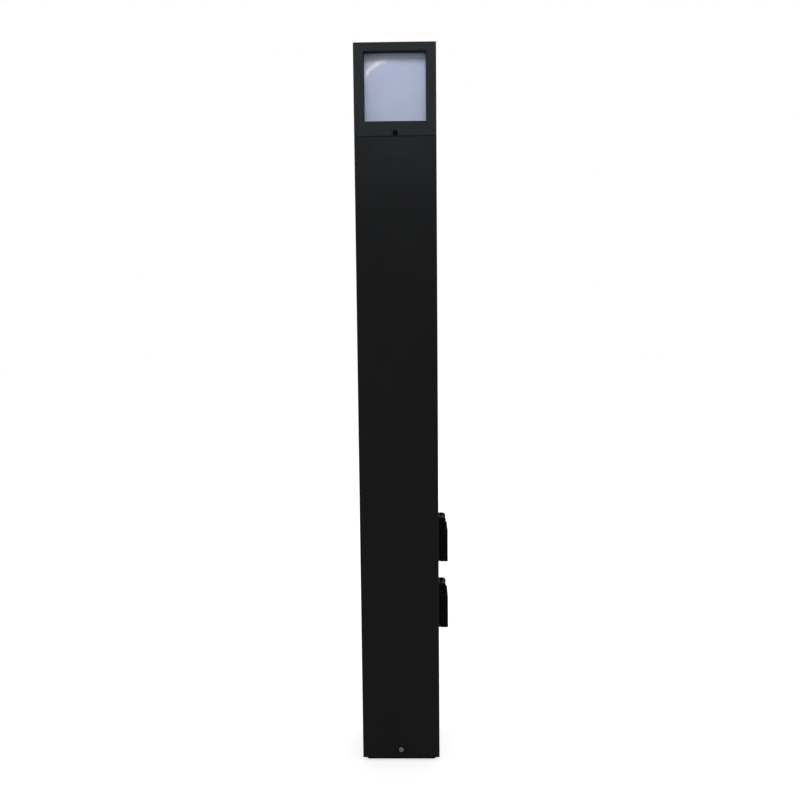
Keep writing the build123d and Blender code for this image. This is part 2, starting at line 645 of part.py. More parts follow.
def head_carrier():
    """Plate on the column's end: a thin rim that the head stands on, and a raised middle."""
    rim = 2 * (HALF - RIM_INSET)
    plate = Pos(0, 0, COLUMN_TOP) * Box(rim, rim, RIM_THICK, align=CENTRE_BOTTOM)
    middle = Box(2 * GUIDE_FACE, 2 * GUIDE_FACE, CARRIER_THICK, align=CENTRE_BOTTOM)
    plate += Pos(0, 0, HEAD_BOTTOM) * middle
    for side in SIGNS:
        faces = sorted((side * GUIDE_FACE, side * (GUIDE_FACE - CARRIER_LUG_THICK)))
        plate += block((-CARRIER_LUG_WIDTH / 2, faces[0], HEAD_BOTTOM),
                       (CARRIER_LUG_WIDTH / 2, faces[1], CARRIER_TOP + CARRIER_LUG_RISE))
    for side in SIGNS:
        plate -= rod((0, side * (GUIDE_FACE - CARRIER_LUG_THICK - OVERRUN), HEAD_SCREW_Z), (0, side, 0),
                     M4_R + THREAD_GAP, CARRIER_LUG_THICK + 2 * OVERRUN)
    for x, y in port_places():
        plate -= rod((x, y, COLUMN_TOP - OVERRUN), (0, 0, 1), M4_R + HOLE_GAP,
                     RIM_THICK + CARRIER_THICK + 2 * OVERRUN)
    for x in SIGNS:
        plate -= rod((x * LAMP_SCREW_SPACING / 2, lamp_foot_y(), COLUMN_TOP - OVERRUN), (0, 0, 1),
                     M3_R + THREAD_GAP, RIM_THICK + CARRIER_THICK + 2 * OVERRUN)
    return plate - rod((0, BUSH_Y, COLUMN_TOP - OVERRUN), (0, 0, 1), BUSH_HOLE_R,
                       RIM_THICK + CARRIER_THICK + 2 * OVERRUN)


def port_places():
    """Centres of the column's four screw ports."""
    return [(x * PORT_CENTRE, y * PORT_CENTRE) for x in SIGNS for y in SIGNS]


def carrier_screws():
    """Corner screws from the carrier into the column's ports."""
    seats = [(x, y, CARRIER_TOP) for x, y in port_places()]
    return placed_screws(M4, CARRIER_SCREW_LENGTH, seats, (0, 0, 1))


def lead_bush():
    """Rubber bush in the carrier, with a bore for each lamp wire."""
    thick = RIM_THICK + CARRIER_THICK
    bush = rod((0, BUSH_Y, COLUMN_TOP), (0, 0, 1), BUSH_HOLE_R - SEAT_GAP, thick)
    bush += rod((0, BUSH_Y, CARRIER_TOP), (0, 0, 1), BUSH_FLANGE_R, BUSH_FLANGE_THICK)
    for side in SIGNS:
        bush -= rod((side * CLIP_WIRE_Y, BUSH_Y, COLUMN_TOP - OVERRUN), (0, 0, 1), WIRE_HOLE_R,
                    thick + BUSH_FLANGE_THICK + 2 * OVERRUN)
    return bush


def window_prism(grow, front, back, corner_r):
    """Upright rectangle on the window's centre, between two Y, grown past the window."""
    outline = RectangleRounded(WINDOW_WIDTH + 2 * grow, WINDOW_HEIGHT + 2 * grow, corner_r)
    return Plane(origin=(0, back, WINDOW_Z), x_dir=(1, 0, 0), z_dir=(0, -1, 0)) * extrude(
        outline, back - front)


def head_housing():
    """Lamp head: a box open below, its front pierced by a window with a deep reveal."""
    shell = extrude(RectangleRounded(POST_WIDTH, POST_WIDTH, POST_CORNER_R), HEAD_HEIGHT)
    shell = fillet(shell.edges().group_by(Axis.Z)[-1], POST_CORNER_R)
    shell -= Pos(0, 0, -OVERRUN) * Box(2 * INNER, 2 * INNER, HEAD_HEIGHT - POST_WALL + OVERRUN,
                                       align=CENTRE_BOTTOM)
    shell = Pos(0, 0, HEAD_BOTTOM) * shell
    shell += window_prism(COLLAR_WALL, -INNER - OVERRUN, COLLAR_END, WINDOW_CORNER_R)
    for x, z in boss_places():
        shell += rod((x, -INNER - OVERRUN, z), (0, 1, 0), BOSS_R, FRAME_Y + INNER + OVERRUN)
    shell -= window_prism(0, -HALF - OVERRUN, FRAME_Y + OVERRUN, WINDOW_CORNER_R)
    for x, z in boss_places():
        shell -= rod((x, FRAME_Y - BOSS_SCREW_DEPTH, z), (0, 1, 0), M3_R + THREAD_GAP,
                     BOSS_SCREW_DEPTH + OVERRUN)
    for side in SIGNS:
        shell -= rod((0, side * (INNER - OVERRUN), HEAD_SCREW_Z), (0, side, 0), M4_R + HOLE_GAP,
                     POST_WALL + 2 * OVERRUN)
    return shell


def boss_places():
    """X and Z of the four bosses for the diffuser's frame."""
    return [(x * BOSS_X, WINDOW_Z + z * BOSS_SPREAD_Z) for x in SIGNS for z in SIGNS]


def head_screws():
    """Black button screws that hold the head to the carrier, front and back."""
    return [Plane(origin=(0, side * HALF, HEAD_SCREW_Z), z_dir=(0, side, 0))
            * screw(M4, HEAD_SCREW_LENGTH, "button") for side in SIGNS]


def diffuser_gasket():
    """Flat gasket between the reveal's end and the diffuser's flange."""
    ring = window_prism(LENS_LIP, COLLAR_END, LENS_FLANGE_Y, WINDOW_CORNER_R)
    return ring - window_prism(0, COLLAR_END - OVERRUN, LENS_FLANGE_Y + OVERRUN, WINDOW_CORNER_R)


def diffuser():
    """Opal panel: a flat flange and a hollow crown with a slightly domed face and rounded edges."""
    crown_y = LENS_FLANGE_Y - LENS_RISE + LENS_SPHERE_R
    reach = LENS_FLANGE_Y - 2 * LENS_RISE
    crown = window_prism(-SEAT_GAP, reach, FRAME_Y, WINDOW_CORNER_R)
    crown &= Pos(0, crown_y, WINDOW_Z) * Sphere(LENS_SPHERE_R)
    crown = fillet(crown.faces().sort_by(Axis.Y)[0].edges(), LENS_EDGE_R)
    inside = window_prism(-SEAT_GAP - LENS_WALL, reach, FRAME_Y + OVERRUN, WINDOW_CORNER_R)
    inside &= Pos(0, crown_y, WINDOW_Z) * Sphere(LENS_SPHERE_R - LENS_WALL)
    flange = window_prism(LENS_LIP, LENS_FLANGE_Y, FRAME_Y, WINDOW_CORNER_R)
    return flange + crown - inside


def diffuser_frame():
    """Sheet frame that clamps the diffuser against its gasket."""
    x = INNER - FRAME_SIDE_GAP
    z = WINDOW_HEIGHT / 2 + FRAME_REACH_Z
    frame = block((-x, FRAME_Y, WINDOW_Z - z), (x, FRAME_Y + FRAME_THICK, WINDOW_Z + z))
    frame -= window_prism(-FRAME_COVER, FRAME_Y - OVERRUN, FRAME_Y + FRAME_THICK + OVERRUN,
                          WINDOW_CORNER_R)
    for bx, bz in boss_places():
        frame -= rod((bx, FRAME_Y - OVERRUN, bz), (0, 1, 0), M3_R + HOLE_GAP, FRAME_THICK + 2 * OVERRUN)
    return frame


def diffuser_screws():
    """Screws through the frame into the bosses."""
    seats = [(x, FRAME_Y + FRAME_THICK, z) for x, z in boss_places()]
    return placed_screws(M3, FRAME_THICK + BOSS_SCREW_DEPTH - OVERRUN, seats, (0, 1, 0))


def lamp_foot_y():
    """Y of the screws in the LED bracket's foot."""
    return LAMP_FACE_Y - (LAMP_BRACKET_FOOT - SHEET) / 2


def led_bracket():
    """Bent sheet on the carrier: LED board in front, driver behind."""
    x = LAMP_BRACKET_WIDTH / 2
    sheet = block((-x, LAMP_FACE_Y, CARRIER_TOP), (x, LAMP_BACK_Y, CARRIER_TOP + LAMP_BRACKET_TALL))
    sheet += block((-x, LAMP_BACK_Y - LAMP_BRACKET_FOOT, CARRIER_TOP),
                   (x, LAMP_BACK_Y, CARRIER_TOP + SHEET))
    for side in SIGNS:
        sheet -= rod((side * LAMP_SCREW_SPACING / 2, lamp_foot_y(), CARRIER_TOP - OVERRUN), (0, 0, 1),
                     M3_R + HOLE_GAP, SHEET + 2 * OVERRUN)
    for bx, bz in board_screw_places() + driver_screw_places():
        sheet -= rod((bx, LAMP_FACE_Y - OVERRUN, bz), (0, 1, 0), M3_R + THREAD_GAP, SHEET + 2 * OVERRUN)
    return sheet


def led_bracket_screws():
    """Two screws from the bracket's foot into the carrier."""
    seats = [(side * LAMP_SCREW_SPACING / 2, lamp_foot_y(), CARRIER_TOP + SHEET) for side in SIGNS]
    return placed_screws(M3, SHEET + RIM_THICK + CARRIER_THICK, seats, (0, 0, 1))


def board_screw_places():
    """X and Z of the screws at the LED board's corners."""
    reach_x = BOARD_WIDTH / 2 - BOARD_SCREW_INSET
    reach_z = BOARD_TALL / 2 - BOARD_SCREW_INSET
    return [(x * reach_x, WINDOW_Z + z * reach_z) for x in SIGNS for z in SIGNS]


def led_board():
    """Metal-core LED board."""
    board = block((-BOARD_WIDTH / 2, BOARD_FACE_Y, WINDOW_Z - BOARD_TALL / 2),
                  (BOARD_WIDTH / 2, LAMP_FACE_Y, WINDOW_Z + BOARD_TALL / 2))
    for x, z in board_screw_places():
        board -= rod((x, BOARD_FACE_Y - OVERRUN, z), (0, 1, 0), M3_R + HOLE_GAP, BOARD_THICK + 2 * OVERRUN)
    return board


def led_chips():
    """Square grid of LED packages on the board."""
    chips = []
    first_x = CHIP_MARGIN - BOARD_WIDTH / 2
    first_z = WINDOW_Z + CHIP_MARGIN - BOARD_TALL / 2
    pitch_x = (BOARD_WIDTH - 2 * CHIP_MARGIN) / (CHIPS_A_SIDE - 1)
    pitch_z = (BOARD_TALL - 2 * CHIP_MARGIN) / (CHIPS_A_SIDE - 1)
    for column in range(CHIPS_A_SIDE):
        for row in range(CHIPS_A_SIDE):
            x, z = first_x + column * pitch_x, first_z + row * pitch_z
            chips.append(block((x - CHIP_SIZE / 2, BOARD_FACE_Y - CHIP_THICK, z - CHIP_SIZE / 2),
                               (x + CHIP_SIZE / 2, BOARD_FACE_Y, z + CHIP_SIZE / 2)))
    return chips


def led_board_screws():
    """Screws at the board's corners."""
    seats = [(x, BOARD_FACE_Y, z) for x, z in board_screw_places()]
    return placed_screws(M3, BOARD_THICK + SHEET, seats, (0, -1, 0))


def driver_screw_places():
    """X and Z of the screws in the driver's two tabs."""
    x = DRIVER_WIDTH / 2 + DRIVER_TAB / 2
    return [(side * x, DRIVER_Z + DRIVER_TALL / 2) for side in SIGNS]


def led_driver():
    """Driver case with a tab on each side and two wire holes below."""
    mid_y = LAMP_BACK_Y + DRIVER_DEPTH / 2
    case = Pos(0, mid_y, DRIVER_Z) * Box(DRIVER_WIDTH, DRIVER_DEPTH, DRIVER_TALL, align=CENTRE_BOTTOM)
    case = fillet(case.edges().filter_by(Axis.Z), DRIVER_EDGE_R)
    half, z = DRIVER_WIDTH / 2, DRIVER_Z + DRIVER_TALL / 2
    case += block((-half - DRIVER_TAB, LAMP_BACK_Y, z - DRIVER_TAB_TALL / 2),
                  (half + DRIVER_TAB, LAMP_BACK_Y + SHEET, z + DRIVER_TAB_TALL / 2))
    for x, sz in driver_screw_places():
        case -= rod((x, LAMP_BACK_Y - OVERRUN, sz), (0, 1, 0), M3_R + HOLE_GAP, SHEET + 2 * OVERRUN)
    for side in SIGNS:
        case -= rod((side * CLIP_WIRE_Y, BUSH_Y, DRIVER_Z - OVERRUN), (0, 0, 1), WIRE_HOLE_R,
                    WIRE_INSERT + OVERRUN)
    return case


def driver_screws():
    """Screws through the driver's tabs into the bracket."""
    seats = [(x, LAMP_BACK_Y + SHEET, z) for x, z in driver_screw_places()]
    return placed_screws(M3, 2 * SHEET, seats, (0, 1, 0))


# Socket, in its own frame

def flange_screw_places():
    """Y and Z of the four flange screws."""
    return [(y * FLANGE_SCREW_REACH, z * FLANGE_SCREW_REACH) for y in SIGNS for z in SIGNS]


def flange_outline(thick):
    """Outline of flange and hinge block together, extruded outwards from x = 0."""
    low, high = -LID_HEIGHT / 2, FLANGE_RISE
    plate = Pos(0, (low + high) / 2) * RectangleRounded(FLANGE_WIDTH, high - low, FLANGE_CORNER_R)
    top = HINGE_Z + HINGE_R
    tab = Pos(0, (high + top - FLANGE_CORNER_R) / 2) * Rectangle(HINGE_WIDTH, top - high + FLANGE_CORNER_R)
    return extrude(Plane.YZ * (plate + tab), thick)


def flange_gasket():
    """Flat gasket between the post and the socket's flange."""
    gasket = flange_outline(SEAL_THICK)
    gasket -= rod((-OVERRUN, 0, 0), (1, 0, 0), WELL_OUTER_R + CUTOUT_GAP, SEAL_THICK + 2 * OVERRUN)
    for y, z in flange_screw_places():
        gasket -= rod((-OVERRUN, y, z), (1, 0, 0), M3_R + CUTOUT_GAP, SEAL_THICK + 2 * OVERRUN)
    return gasket


def hinge_ear(width):
    """Ear of the hinge: a round end on the pin's axis, drawn back to the back plate."""
    back = SEAL_THICK
    low = LID_HEIGHT / 2 + SEAT_GAP
    disc = Pos(HINGE_X, HINGE_Z) * Circle(HINGE_R)
    turn = radians(EAR_WEB_ANGLE)
    web = Polyline((back, low), (back + BACK_PLATE, low),
                   (HINGE_X + HINGE_R * cos(turn), HINGE_Z - HINGE_R * sin(turn)),
                   (HINGE_X, HINGE_Z + HINGE_R), (back, HINGE_Z + HINGE_R), close=True)
    ear = extrude(Plane.XZ * (disc + make_face(web)), -width)
    return ear


def socket_body():
    """Moulding of the socket: flange, hinge ears, collar and well in one piece."""
    rim = Pos(SEAL_THICK, 0, 0) * flange_outline(FLANGE_RIM)
    lower = rim.edges().filter_by(Axis.Y).group_by(Axis.Z)[0].sort_by(Axis.X)[-1]
    body = chamfer(lower, FLANGE_CHAMFER)
    inside_y = LID_WIDTH / 2 - LID_SIDE - SEAT_GAP - THREAD_GAP
    inside_z = LID_HEIGHT / 2 - LID_SIDE - SEAT_GAP - THREAD_GAP
    body += block((SEAL_THICK, -inside_y, -inside_z), (SLAB_X, inside_y, FLANGE_RISE))
    body += block((SEAL_THICK, -FLANGE_WIDTH / 2, LID_HEIGHT / 2 + SEAT_GAP),
                  (SLAB_X, FLANGE_WIDTH / 2, FLANGE_RISE))
    half = HINGE_WIDTH / 2
    body += block((SEAL_THICK, -half, FLANGE_RISE - OVERRUN),
                  (SEAL_THICK + BACK_PLATE, half, HINGE_Z + HINGE_R))
    body += Pos(0, -half, 0) * hinge_ear(EAR_WIDTH) + Pos(0, half - EAR_WIDTH, 0) * hinge_ear(EAR_WIDTH)
    body += rod((FLOOR_BACK, 0, 0), (1, 0, 0), WELL_OUTER_R, COLLAR_X - FLOOR_BACK)
    body -= rod((FLOOR_X, 0, 0), (1, 0, 0), WELL_R, WELL_DEPTH + OVERRUN)
    for side in SIGNS:
        body += guide_rib(side)
    return socket_body_holes(body)


def guide_rib(side):
    """Rib in the well's wall that turns the plug the right way."""
    faces = sorted((side * (WELL_R - GUIDE_HEIGHT), side * (WELL_R + WELL_WALL / 2)))
    return block((FLOOR_X, faces[0], -GUIDE_WIDTH / 2), (SLAB_X, faces[1], GUIDE_WIDTH / 2))


def socket_body_holes(body):
    """Pin holes, earth slots, screw holes and hinge bore of the moulding."""
    for side in SIGNS:
        body -= rod((FLOOR_BACK - OVERRUN, side * PIN_PITCH / 2, 0), (1, 0, 0), PIN_HOLE_R,
                    WELL_FLOOR + 2 * OVERRUN)
        arm = side * EARTH_ARM_Z
        half = EARTH_SHEET / 2 + EARTH_GAP
        body -= block((FLOOR_BACK - OVERRUN, -EARTH_WIDTH / 2 - EARTH_GAP, arm - half),
                      (FLOOR_X + OVERRUN, EARTH_WIDTH / 2 + EARTH_GAP, arm + half))
        body -= rod((FLOOR_BACK - OVERRUN, side * CARRIER_FIX_Y, side * CARRIER_FIX_Z), (1, 0, 0),
                    M25_R + THREAD_GAP, CARRIER_FIX_BITE + OVERRUN)
    for y, z in flange_screw_places():
        body -= rod((-OVERRUN, y, z), (1, 0, 0), M3_R + HOLE_GAP, SLAB_X + 2 * OVERRUN)
        sink = Cone(M3_R + HOLE_GAP, M3_HEAD_R + THREAD_GAP, COUNTERSUNK_H, align=CENTRE_TOP)
        body -= Plane(origin=(SLAB_X, y, z), z_dir=(1, 0, 0)) * sink
    return body - rod((HINGE_X, -HINGE_WIDTH, HINGE_Z), (0, 1, 0), PIN_R, 2 * HINGE_WIDTH)


def flange_screws():
    """Countersunk screws in the flange's corners."""
    seats = [(SLAB_X, y, z) for y, z in flange_screw_places()]
    return placed_screws(M3, FLANGE_SCREW_LENGTH, seats, (1, 0, 0), "countersunk")


def contact_carrier():
    """Block behind the well that holds the contacts and terminals."""
    y, z = CARRIER_WIDTH / 2, CARRIER_TALL / 2
    body = block((CARRIER_BACK, -y, -z), (FLOOR_BACK, y, z))
    groove = EARTH_WIDTH / 2 + EARTH_GAP
    body -= block((FLOOR_BACK - EARTH_SHEET - EARTH_GAP, -groove, -z - OVERRUN),
                  (FLOOR_BACK + OVERRUN, groove, z + OVERRUN))
    for side in SIGNS:
        pole = side * PIN_PITCH / 2
        body -= rod((FLOOR_BACK - SLEEVE_LENGTH, pole, 0), (1, 0, 0), SLEEVE_R + THREAD_GAP,
                    SLEEVE_LENGTH + OVERRUN)
        body -= rod((CARRIER_BACK - OVERRUN, side * CARRIER_FIX_Y, side * CARRIER_FIX_Z), (1, 0, 0),
                    M25_R + THREAD_GAP, CARRIER_DEPTH + 2 * OVERRUN)
    for y_pole, side in terminal_places():
        body -= rod((CARRIER_BACK - OVERRUN, y_pole, side * TERMINAL_Z), (1, 0, 0), WIRE_HOLE_R,
                    WIRE_INSERT + OVERRUN)
        body -= rod((CARRIER_BACK + TERMINAL_SCREW_DEPTH, y_pole, side * (z + OVERRUN)),
                    (0, 0, -side), M3_R + THREAD_GAP, TERMINAL_SCREW_LENGTH + OVERRUN)
    return body


def terminal_places():
    """Y of each pole with the side, below or above, of its wire hole and screw."""
    return [(y, side) for y in (-PIN_PITCH / 2, 0, PIN_PITCH / 2) for side in SIGNS]


def terminal_screws():
    """Slotted terminal screws, above and below each pole."""
    size = (M3_R, TERMINAL_HEAD_R, TERMINAL_HEAD_H, M3_KEY, M3_KEY_DEPTH)
    one = screw(size, TERMINAL_SCREW_LENGTH)
    return [Plane(origin=(CARRIER_BACK + TERMINAL_SCREW_DEPTH, y, side * CARRIER_TALL / 2),
                  x_dir=(1, 0, 0), z_dir=(0, 0, side)) * one for y, side in terminal_places()]


def pin_contacts():
    """Slit sleeves that grip the plug's two pins."""
    sleeves = []
    for side in SIGNS:
        start = (FLOOR_BACK - SLEEVE_LENGTH, side * PIN_PITCH / 2, 0)
        sleeve = rod(start, (1, 0, 0), SLEEVE_R, SLEEVE_LENGTH)
        sleeve -= rod((start[0] + SLEEVE_WALL, start[1], 0), (1, 0, 0), SLEEVE_R - SLEEVE_WALL,
                      SLEEVE_LENGTH)
        slit = block((FLOOR_BACK - SLEEVE_SLIT_LENGTH, start[1] - SLEEVE_SLIT / 2, -SLEEVE_R - OVERRUN),
                     (FLOOR_BACK + OVERRUN, start[1] + SLEEVE_SLIT / 2, SLEEVE_R + OVERRUN))
        sleeves.append(sleeve - slit)
    return sleeves


def earth_clip():
    """Bent strip behind the floor whose two arms reach forward into the well."""
    half_w, half_t = EARTH_WIDTH / 2, EARTH_SHEET / 2
    back = FLOOR_BACK - EARTH_SHEET
    reach = EARTH_ARM_Z + half_t
    clip = block((back, -half_w, -reach), (FLOOR_BACK, half_w, reach))
    for side in SIGNS:
        faces = sorted((side * (EARTH_ARM_Z - half_t), side * reach))
        clip += block((back, -half_w, faces[0]), (FLOOR_X + EARTH_ARM_REACH, half_w, faces[1]))
        # Raised contact point that rubs on the plug's earth strip
        rub = rod((FLOOR_X + EARTH_ARM_REACH / 2, -half_w, side * (EARTH_ARM_Z - half_t)), (0, 1, 0),
                  EARTH_SHEET, EARTH_WIDTH)
        clip += rub
    return clip


def carrier_fix_screws():
    """Two screws from behind that hold the contact carrier to the moulding."""
    seats = [(CARRIER_BACK, side * CARRIER_FIX_Y, side * CARRIER_FIX_Z) for side in SIGNS]
    return placed_screws(M25, CARRIER_DEPTH + CARRIER_FIX_BITE, seats, (-1, 0, 0))


def lid():
    """Hinged lid: a shallow cap with a seal ring inside, and a neck up to the knuckles."""
    y, z = LID_WIDTH / 2, LID_HEIGHT / 2
    cap = block((LID_BACK, -y, -z), (LID_FACE, y, z))
    cap = fillet(cap.edges().filter_by(Axis.X), LID_EDGE_R)
    cap = fillet(cap.edges().group_by(Axis.X)[-1], LID_FACE_R)
    neck = lid_neck()
    cap = cap + neck
    cap -= block((LID_BACK - OVERRUN, LID_SIDE - y, LID_SIDE - z), (LID_INSIDE, y - LID_SIDE, z - LID_SIDE))
    # The top wall stops short, so that it swings clear of the flange
    cap -= block((LID_BACK - OVERRUN, LID_SIDE - y, z - LID_SIDE - OVERRUN),
                 (SLAB_X + SEAT_GAP, y - LID_SIDE, z + THREAD_GAP))
    ring = rod((seal_x() + LID_SEAL_THICK, 0, 0), (1, 0, 0), WELL_OUTER_R,
               LID_INSIDE - seal_x() - LID_SEAL_THICK + THREAD_GAP)
    ring -= rod((seal_x(), 0, 0), (1, 0, 0), WELL_OUTER_R - LID_SEAL_WIDTH, LID_FACE - seal_x())
    cap += ring
    for side in SIGNS:
        nub = Pos(LID_BACK + 2 * NUB_R, side * (y - NUB_R + NUB_PROUD), -NUB_DROP) * Sphere(NUB_R)
        cap += nub
    return cap


def seal_x():
    """X of the lid seal's face, just clear of the collar."""
    return COLLAR_X + SEAT_GAP


def lid_neck():
    """Neck and two knuckles, with a pocket between them for the spring."""
    half = HINGE_WIDTH / 2 - EAR_WIDTH - SEAT_GAP
    top = LID_HEIGHT / 2
    outline = Polyline((NECK_INSIDE, top - LID_SIDE), (LID_FACE - LID_EDGE_R, top - LID_SIDE),
                       (HINGE_X + KNUCKLE_R, HINGE_Z), (NECK_INSIDE, HINGE_Z), close=True)
    profile = make_face(outline) + Pos(HINGE_X, HINGE_Z) * Circle(KNUCKLE_R)
    neck = Pos(0, -half, 0) * extrude(Plane.XZ * profile, -2 * half)
    neck -= rod((HINGE_X, -HINGE_WIDTH, HINGE_Z), (0, 1, 0), PIN_R + RUNNING_GAP, 2 * HINGE_WIDTH)
    pocket_r = SPRING_COIL_R + SPRING_WIRE_R + SPRING_POCKET_GAP
    pocket_w = SPRING_POCKET_WIDTH
    pocket = rod((HINGE_X, -pocket_w / 2, HINGE_Z), (0, 1, 0), pocket_r, pocket_w)
    pocket += block((0, -pocket_w / 2, HINGE_Z - SPRING_LEDGE), (HINGE_X + pocket_r, pocket_w / 2, HINGE_Z))
    # Open above, so that the barrel's front wall passes the spring's upper leg
    pocket += block((0, -pocket_w / 2, HINGE_Z + SPRING_WIRE_R),
                    (HINGE_X + HINGE_R, pocket_w / 2, HINGE_Z + HINGE_R))
    pocket += block((0, -pocket_w / 2, HINGE_Z - SPRING_LEDGE), (HINGE_X, pocket_w / 2, HINGE_Z + HINGE_R))
    return neck - pocket


def lid_seal():
    """Soft ring on the lid that closes on the collar."""
    ring = rod((seal_x(), 0, 0), (1, 0, 0), WELL_OUTER_R, LID_SEAL_THICK)
    return ring - rod((seal_x() - OVERRUN, 0, 0), (1, 0, 0), WELL_OUTER_R - LID_SEAL_WIDTH,
                      LID_SEAL_THICK + 2 * OVERRUN)


def hinge_pin():
    """Steel pin held in the ears, which the knuckles turn on."""
    return rod((HINGE_X, -HINGE_WIDTH / 2, HINGE_Z), (0, 1, 0), PIN_R, HINGE_WIDTH)


def coil_point(quarter):
    """Point of the spring's coil after so many quarter turns, in the hinge's frame."""
    angle = quarter * pi / 2
    start = -SPRING_QUARTERS * SPRING_PITCH / 8
    return Vector(SPRING_COIL_R * cos(angle), start + SPRING_PITCH * quarter / 4, SPRING_COIL_R * sin(angle))


def coil_tangent(quarter):
    """Direction of the coil there; its first and last quarter run into straight legs."""
    angle = quarter * pi / 2
    climb = 0 if quarter in (0, SPRING_QUARTERS) else SPRING_PITCH / (2 * pi)
    return Vector(-SPRING_COIL_R * sin(angle), climb, SPRING_COIL_R * cos(angle)).normalized()


def biarc(start, start_dir, end, end_dir):
    """Two arcs that leave start and reach end along the given directions."""
    chord, both = end - start, start_dir + end_dir
    square = 2 * (1 - start_dir.dot(end_dir))
    along = chord.dot(both)
    reach = (sqrt(along**2 + square * chord.dot(chord)) - along) / square
    near, far = start + start_dir * reach, end - end_dir * reach
    middle = (near + far) / 2
    return [TangentArc(start, middle, tangent=start_dir), TangentArc(middle, end, tangent=far - near)]


def lid_spring():
    """Torsion spring round the pin: one leg on the lid's ledge, one on the back plate."""
    first, last = coil_point(0), coil_point(SPRING_QUARTERS)
    foot = Vector(first.X, first.Y, THREAD_GAP - SPRING_LEDGE)
    back = Vector(SEAL_THICK + BACK_PLATE + THREAD_GAP - HINGE_X, last.Y, last.Z)
    pieces = [Line(foot, first)]
    for quarter in range(SPRING_QUARTERS):
        pieces += biarc(coil_point(quarter), coil_tangent(quarter),
                        coil_point(quarter + 1), coil_tangent(quarter + 1))
    pieces.append(Line(last, back))
    path = Wire([piece.edge() for piece in pieces])
    spring = sweep(Plane(origin=foot, z_dir=(0, 0, 1)) * Circle(SPRING_WIRE_R), path=path)
    share = spring.volume / (pi * SPRING_WIRE_R**2 * path.length)
    print(f"lid_spring: volume share {share:.4f}, least gap {least_gap():.3f} mm")
    return Pos(HINGE_X, 0, HINGE_Z) * spring


def least_gap():
    """Smallest gap between one turn of the spring and the rest, measured on points."""
    steps = 32
    points = [coil_point(n / steps) for n in range(SPRING_QUARTERS * steps + 1)]
    gaps = [(a - b).length for n, a in enumerate(points) for b in points[n + 2 * steps:]]
    return min(gaps) - 2 * SPRING_WIRE_R


SOCKET_PIECES = {
    "gasket": flange_gasket,
    "socket_body": socket_body,
    "contact_carrier": contact_carrier,
    "pin_contacts": pin_contacts,
    "earth_clip": earth_clip,
    "terminal_screws": terminal_screws,
    "carrier_fix_screws": carrier_fix_screws,
    "flange_screws": flange_screws,
    "lid": lid,
    "lid_seal": lid_seal,
    "hinge_pin": hinge_pin,
    "lid_spring": lid_spring,
}

POST_PIECES = {
    "foot_plate": foot_plate,
    "cable_grommet": cable_grommet,
    "column_tube": column_tube,
    "column_screws": column_screws,
    "terminal_bracket": terminal_bracket,
    "terminal_bracket_screws": terminal_bracket_screws,
    "terminal_block": terminal_block,
    "terminal_barrels": terminal_barrels,
    "clamp_screws": clamp_screws,
    "terminal_block_screws": terminal_block_screws,
    "earth_stud": earth_stud,
    "earth_nuts": earth_nuts,
    "earth_lug": earth_lug,
    "cable_clips": cable_clips,
    "head_carrier": head_carrier,
    "carrier_screws": carrier_screws,
    "lead_bush": lead_bush,
    "head_housing": head_housing,
    "head_screws": head_screws,
    "diffuser_gasket": diffuser_gasket,
    "diffuser": diffuser,
    "diffuser_frame": diffuser_frame,
    "diffuser_screws": diffuser_screws,
    "led_bracket": led_bracket,
    "led_bracket_screws": led_bracket_screws,
    "led_board": led_board,
    "led_chips": led_chips,
    "led_board_screws": led_board_screws,
    "led_driver": led_driver,
    "driver_screws": driver_screws,
    "led_wires": led_wires,
}


def solids_of(result):
    """A piece, or a list of pieces, as a list."""
    return result if isinstance(result, list) else [result]


os.makedirs("parts", exist_ok=True)
for name, make in POST_PIECES.items():
    save(name, *solids_of(make()))
save("live_wires", *pole_wires("live_wires", -POLE_PITCH, -1), driver_wire("live_wires", -1))
save("neutral_wires", *pole_wires("neutral_wires", POLE_PITCH, 1), driver_wire("neutral_wires", 1))
save("earth_wires", *pole_wires("earth_wires", 0, 0), earth_wire_to_lug())
for name, make in SOCKET_PIECES.items():
    pieces = solids_of(make())
    for place, height in WELL_HEIGHTS.items():
        save(f"{place}_{name}", *[Pos(HALF, 0, height) * piece for piece in pieces])
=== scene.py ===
import logging
import math
from dataclasses import dataclass
from enum import Enum
from typing import Iterable, Sequence

import bmesh
import bpy
from mathutils import Matrix, Vector


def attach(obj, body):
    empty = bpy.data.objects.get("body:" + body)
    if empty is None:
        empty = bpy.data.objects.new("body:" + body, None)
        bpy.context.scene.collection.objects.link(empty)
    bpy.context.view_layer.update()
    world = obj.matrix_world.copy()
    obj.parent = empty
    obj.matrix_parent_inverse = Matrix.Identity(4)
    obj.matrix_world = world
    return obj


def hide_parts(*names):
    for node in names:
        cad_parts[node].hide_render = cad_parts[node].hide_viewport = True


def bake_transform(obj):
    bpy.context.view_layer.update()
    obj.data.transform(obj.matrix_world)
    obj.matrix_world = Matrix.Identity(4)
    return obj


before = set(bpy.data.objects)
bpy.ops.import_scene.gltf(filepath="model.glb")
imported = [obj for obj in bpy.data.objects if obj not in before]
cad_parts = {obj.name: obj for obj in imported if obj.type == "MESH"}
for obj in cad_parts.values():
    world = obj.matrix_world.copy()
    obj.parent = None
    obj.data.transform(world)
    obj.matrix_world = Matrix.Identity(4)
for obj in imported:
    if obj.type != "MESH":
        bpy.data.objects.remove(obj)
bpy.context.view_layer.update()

# The garden socket post, dressed: a powder-coated column and lamp head, an opal panel, and
# two black sockets whose lids swing up. Metres, +Z up, the window faces -Y.

LOG = logging.getLogger("post")
Socket = bpy.types.NodeSocket
Triple = tuple[float, float, float]
Colour = Triple

MM = 0.001

# What a rebuilt piece's name adds to its node's.
DRESSED = "_dressed"

# Corners nearer to each other than this are merged.
WELD = 0.002 * MM

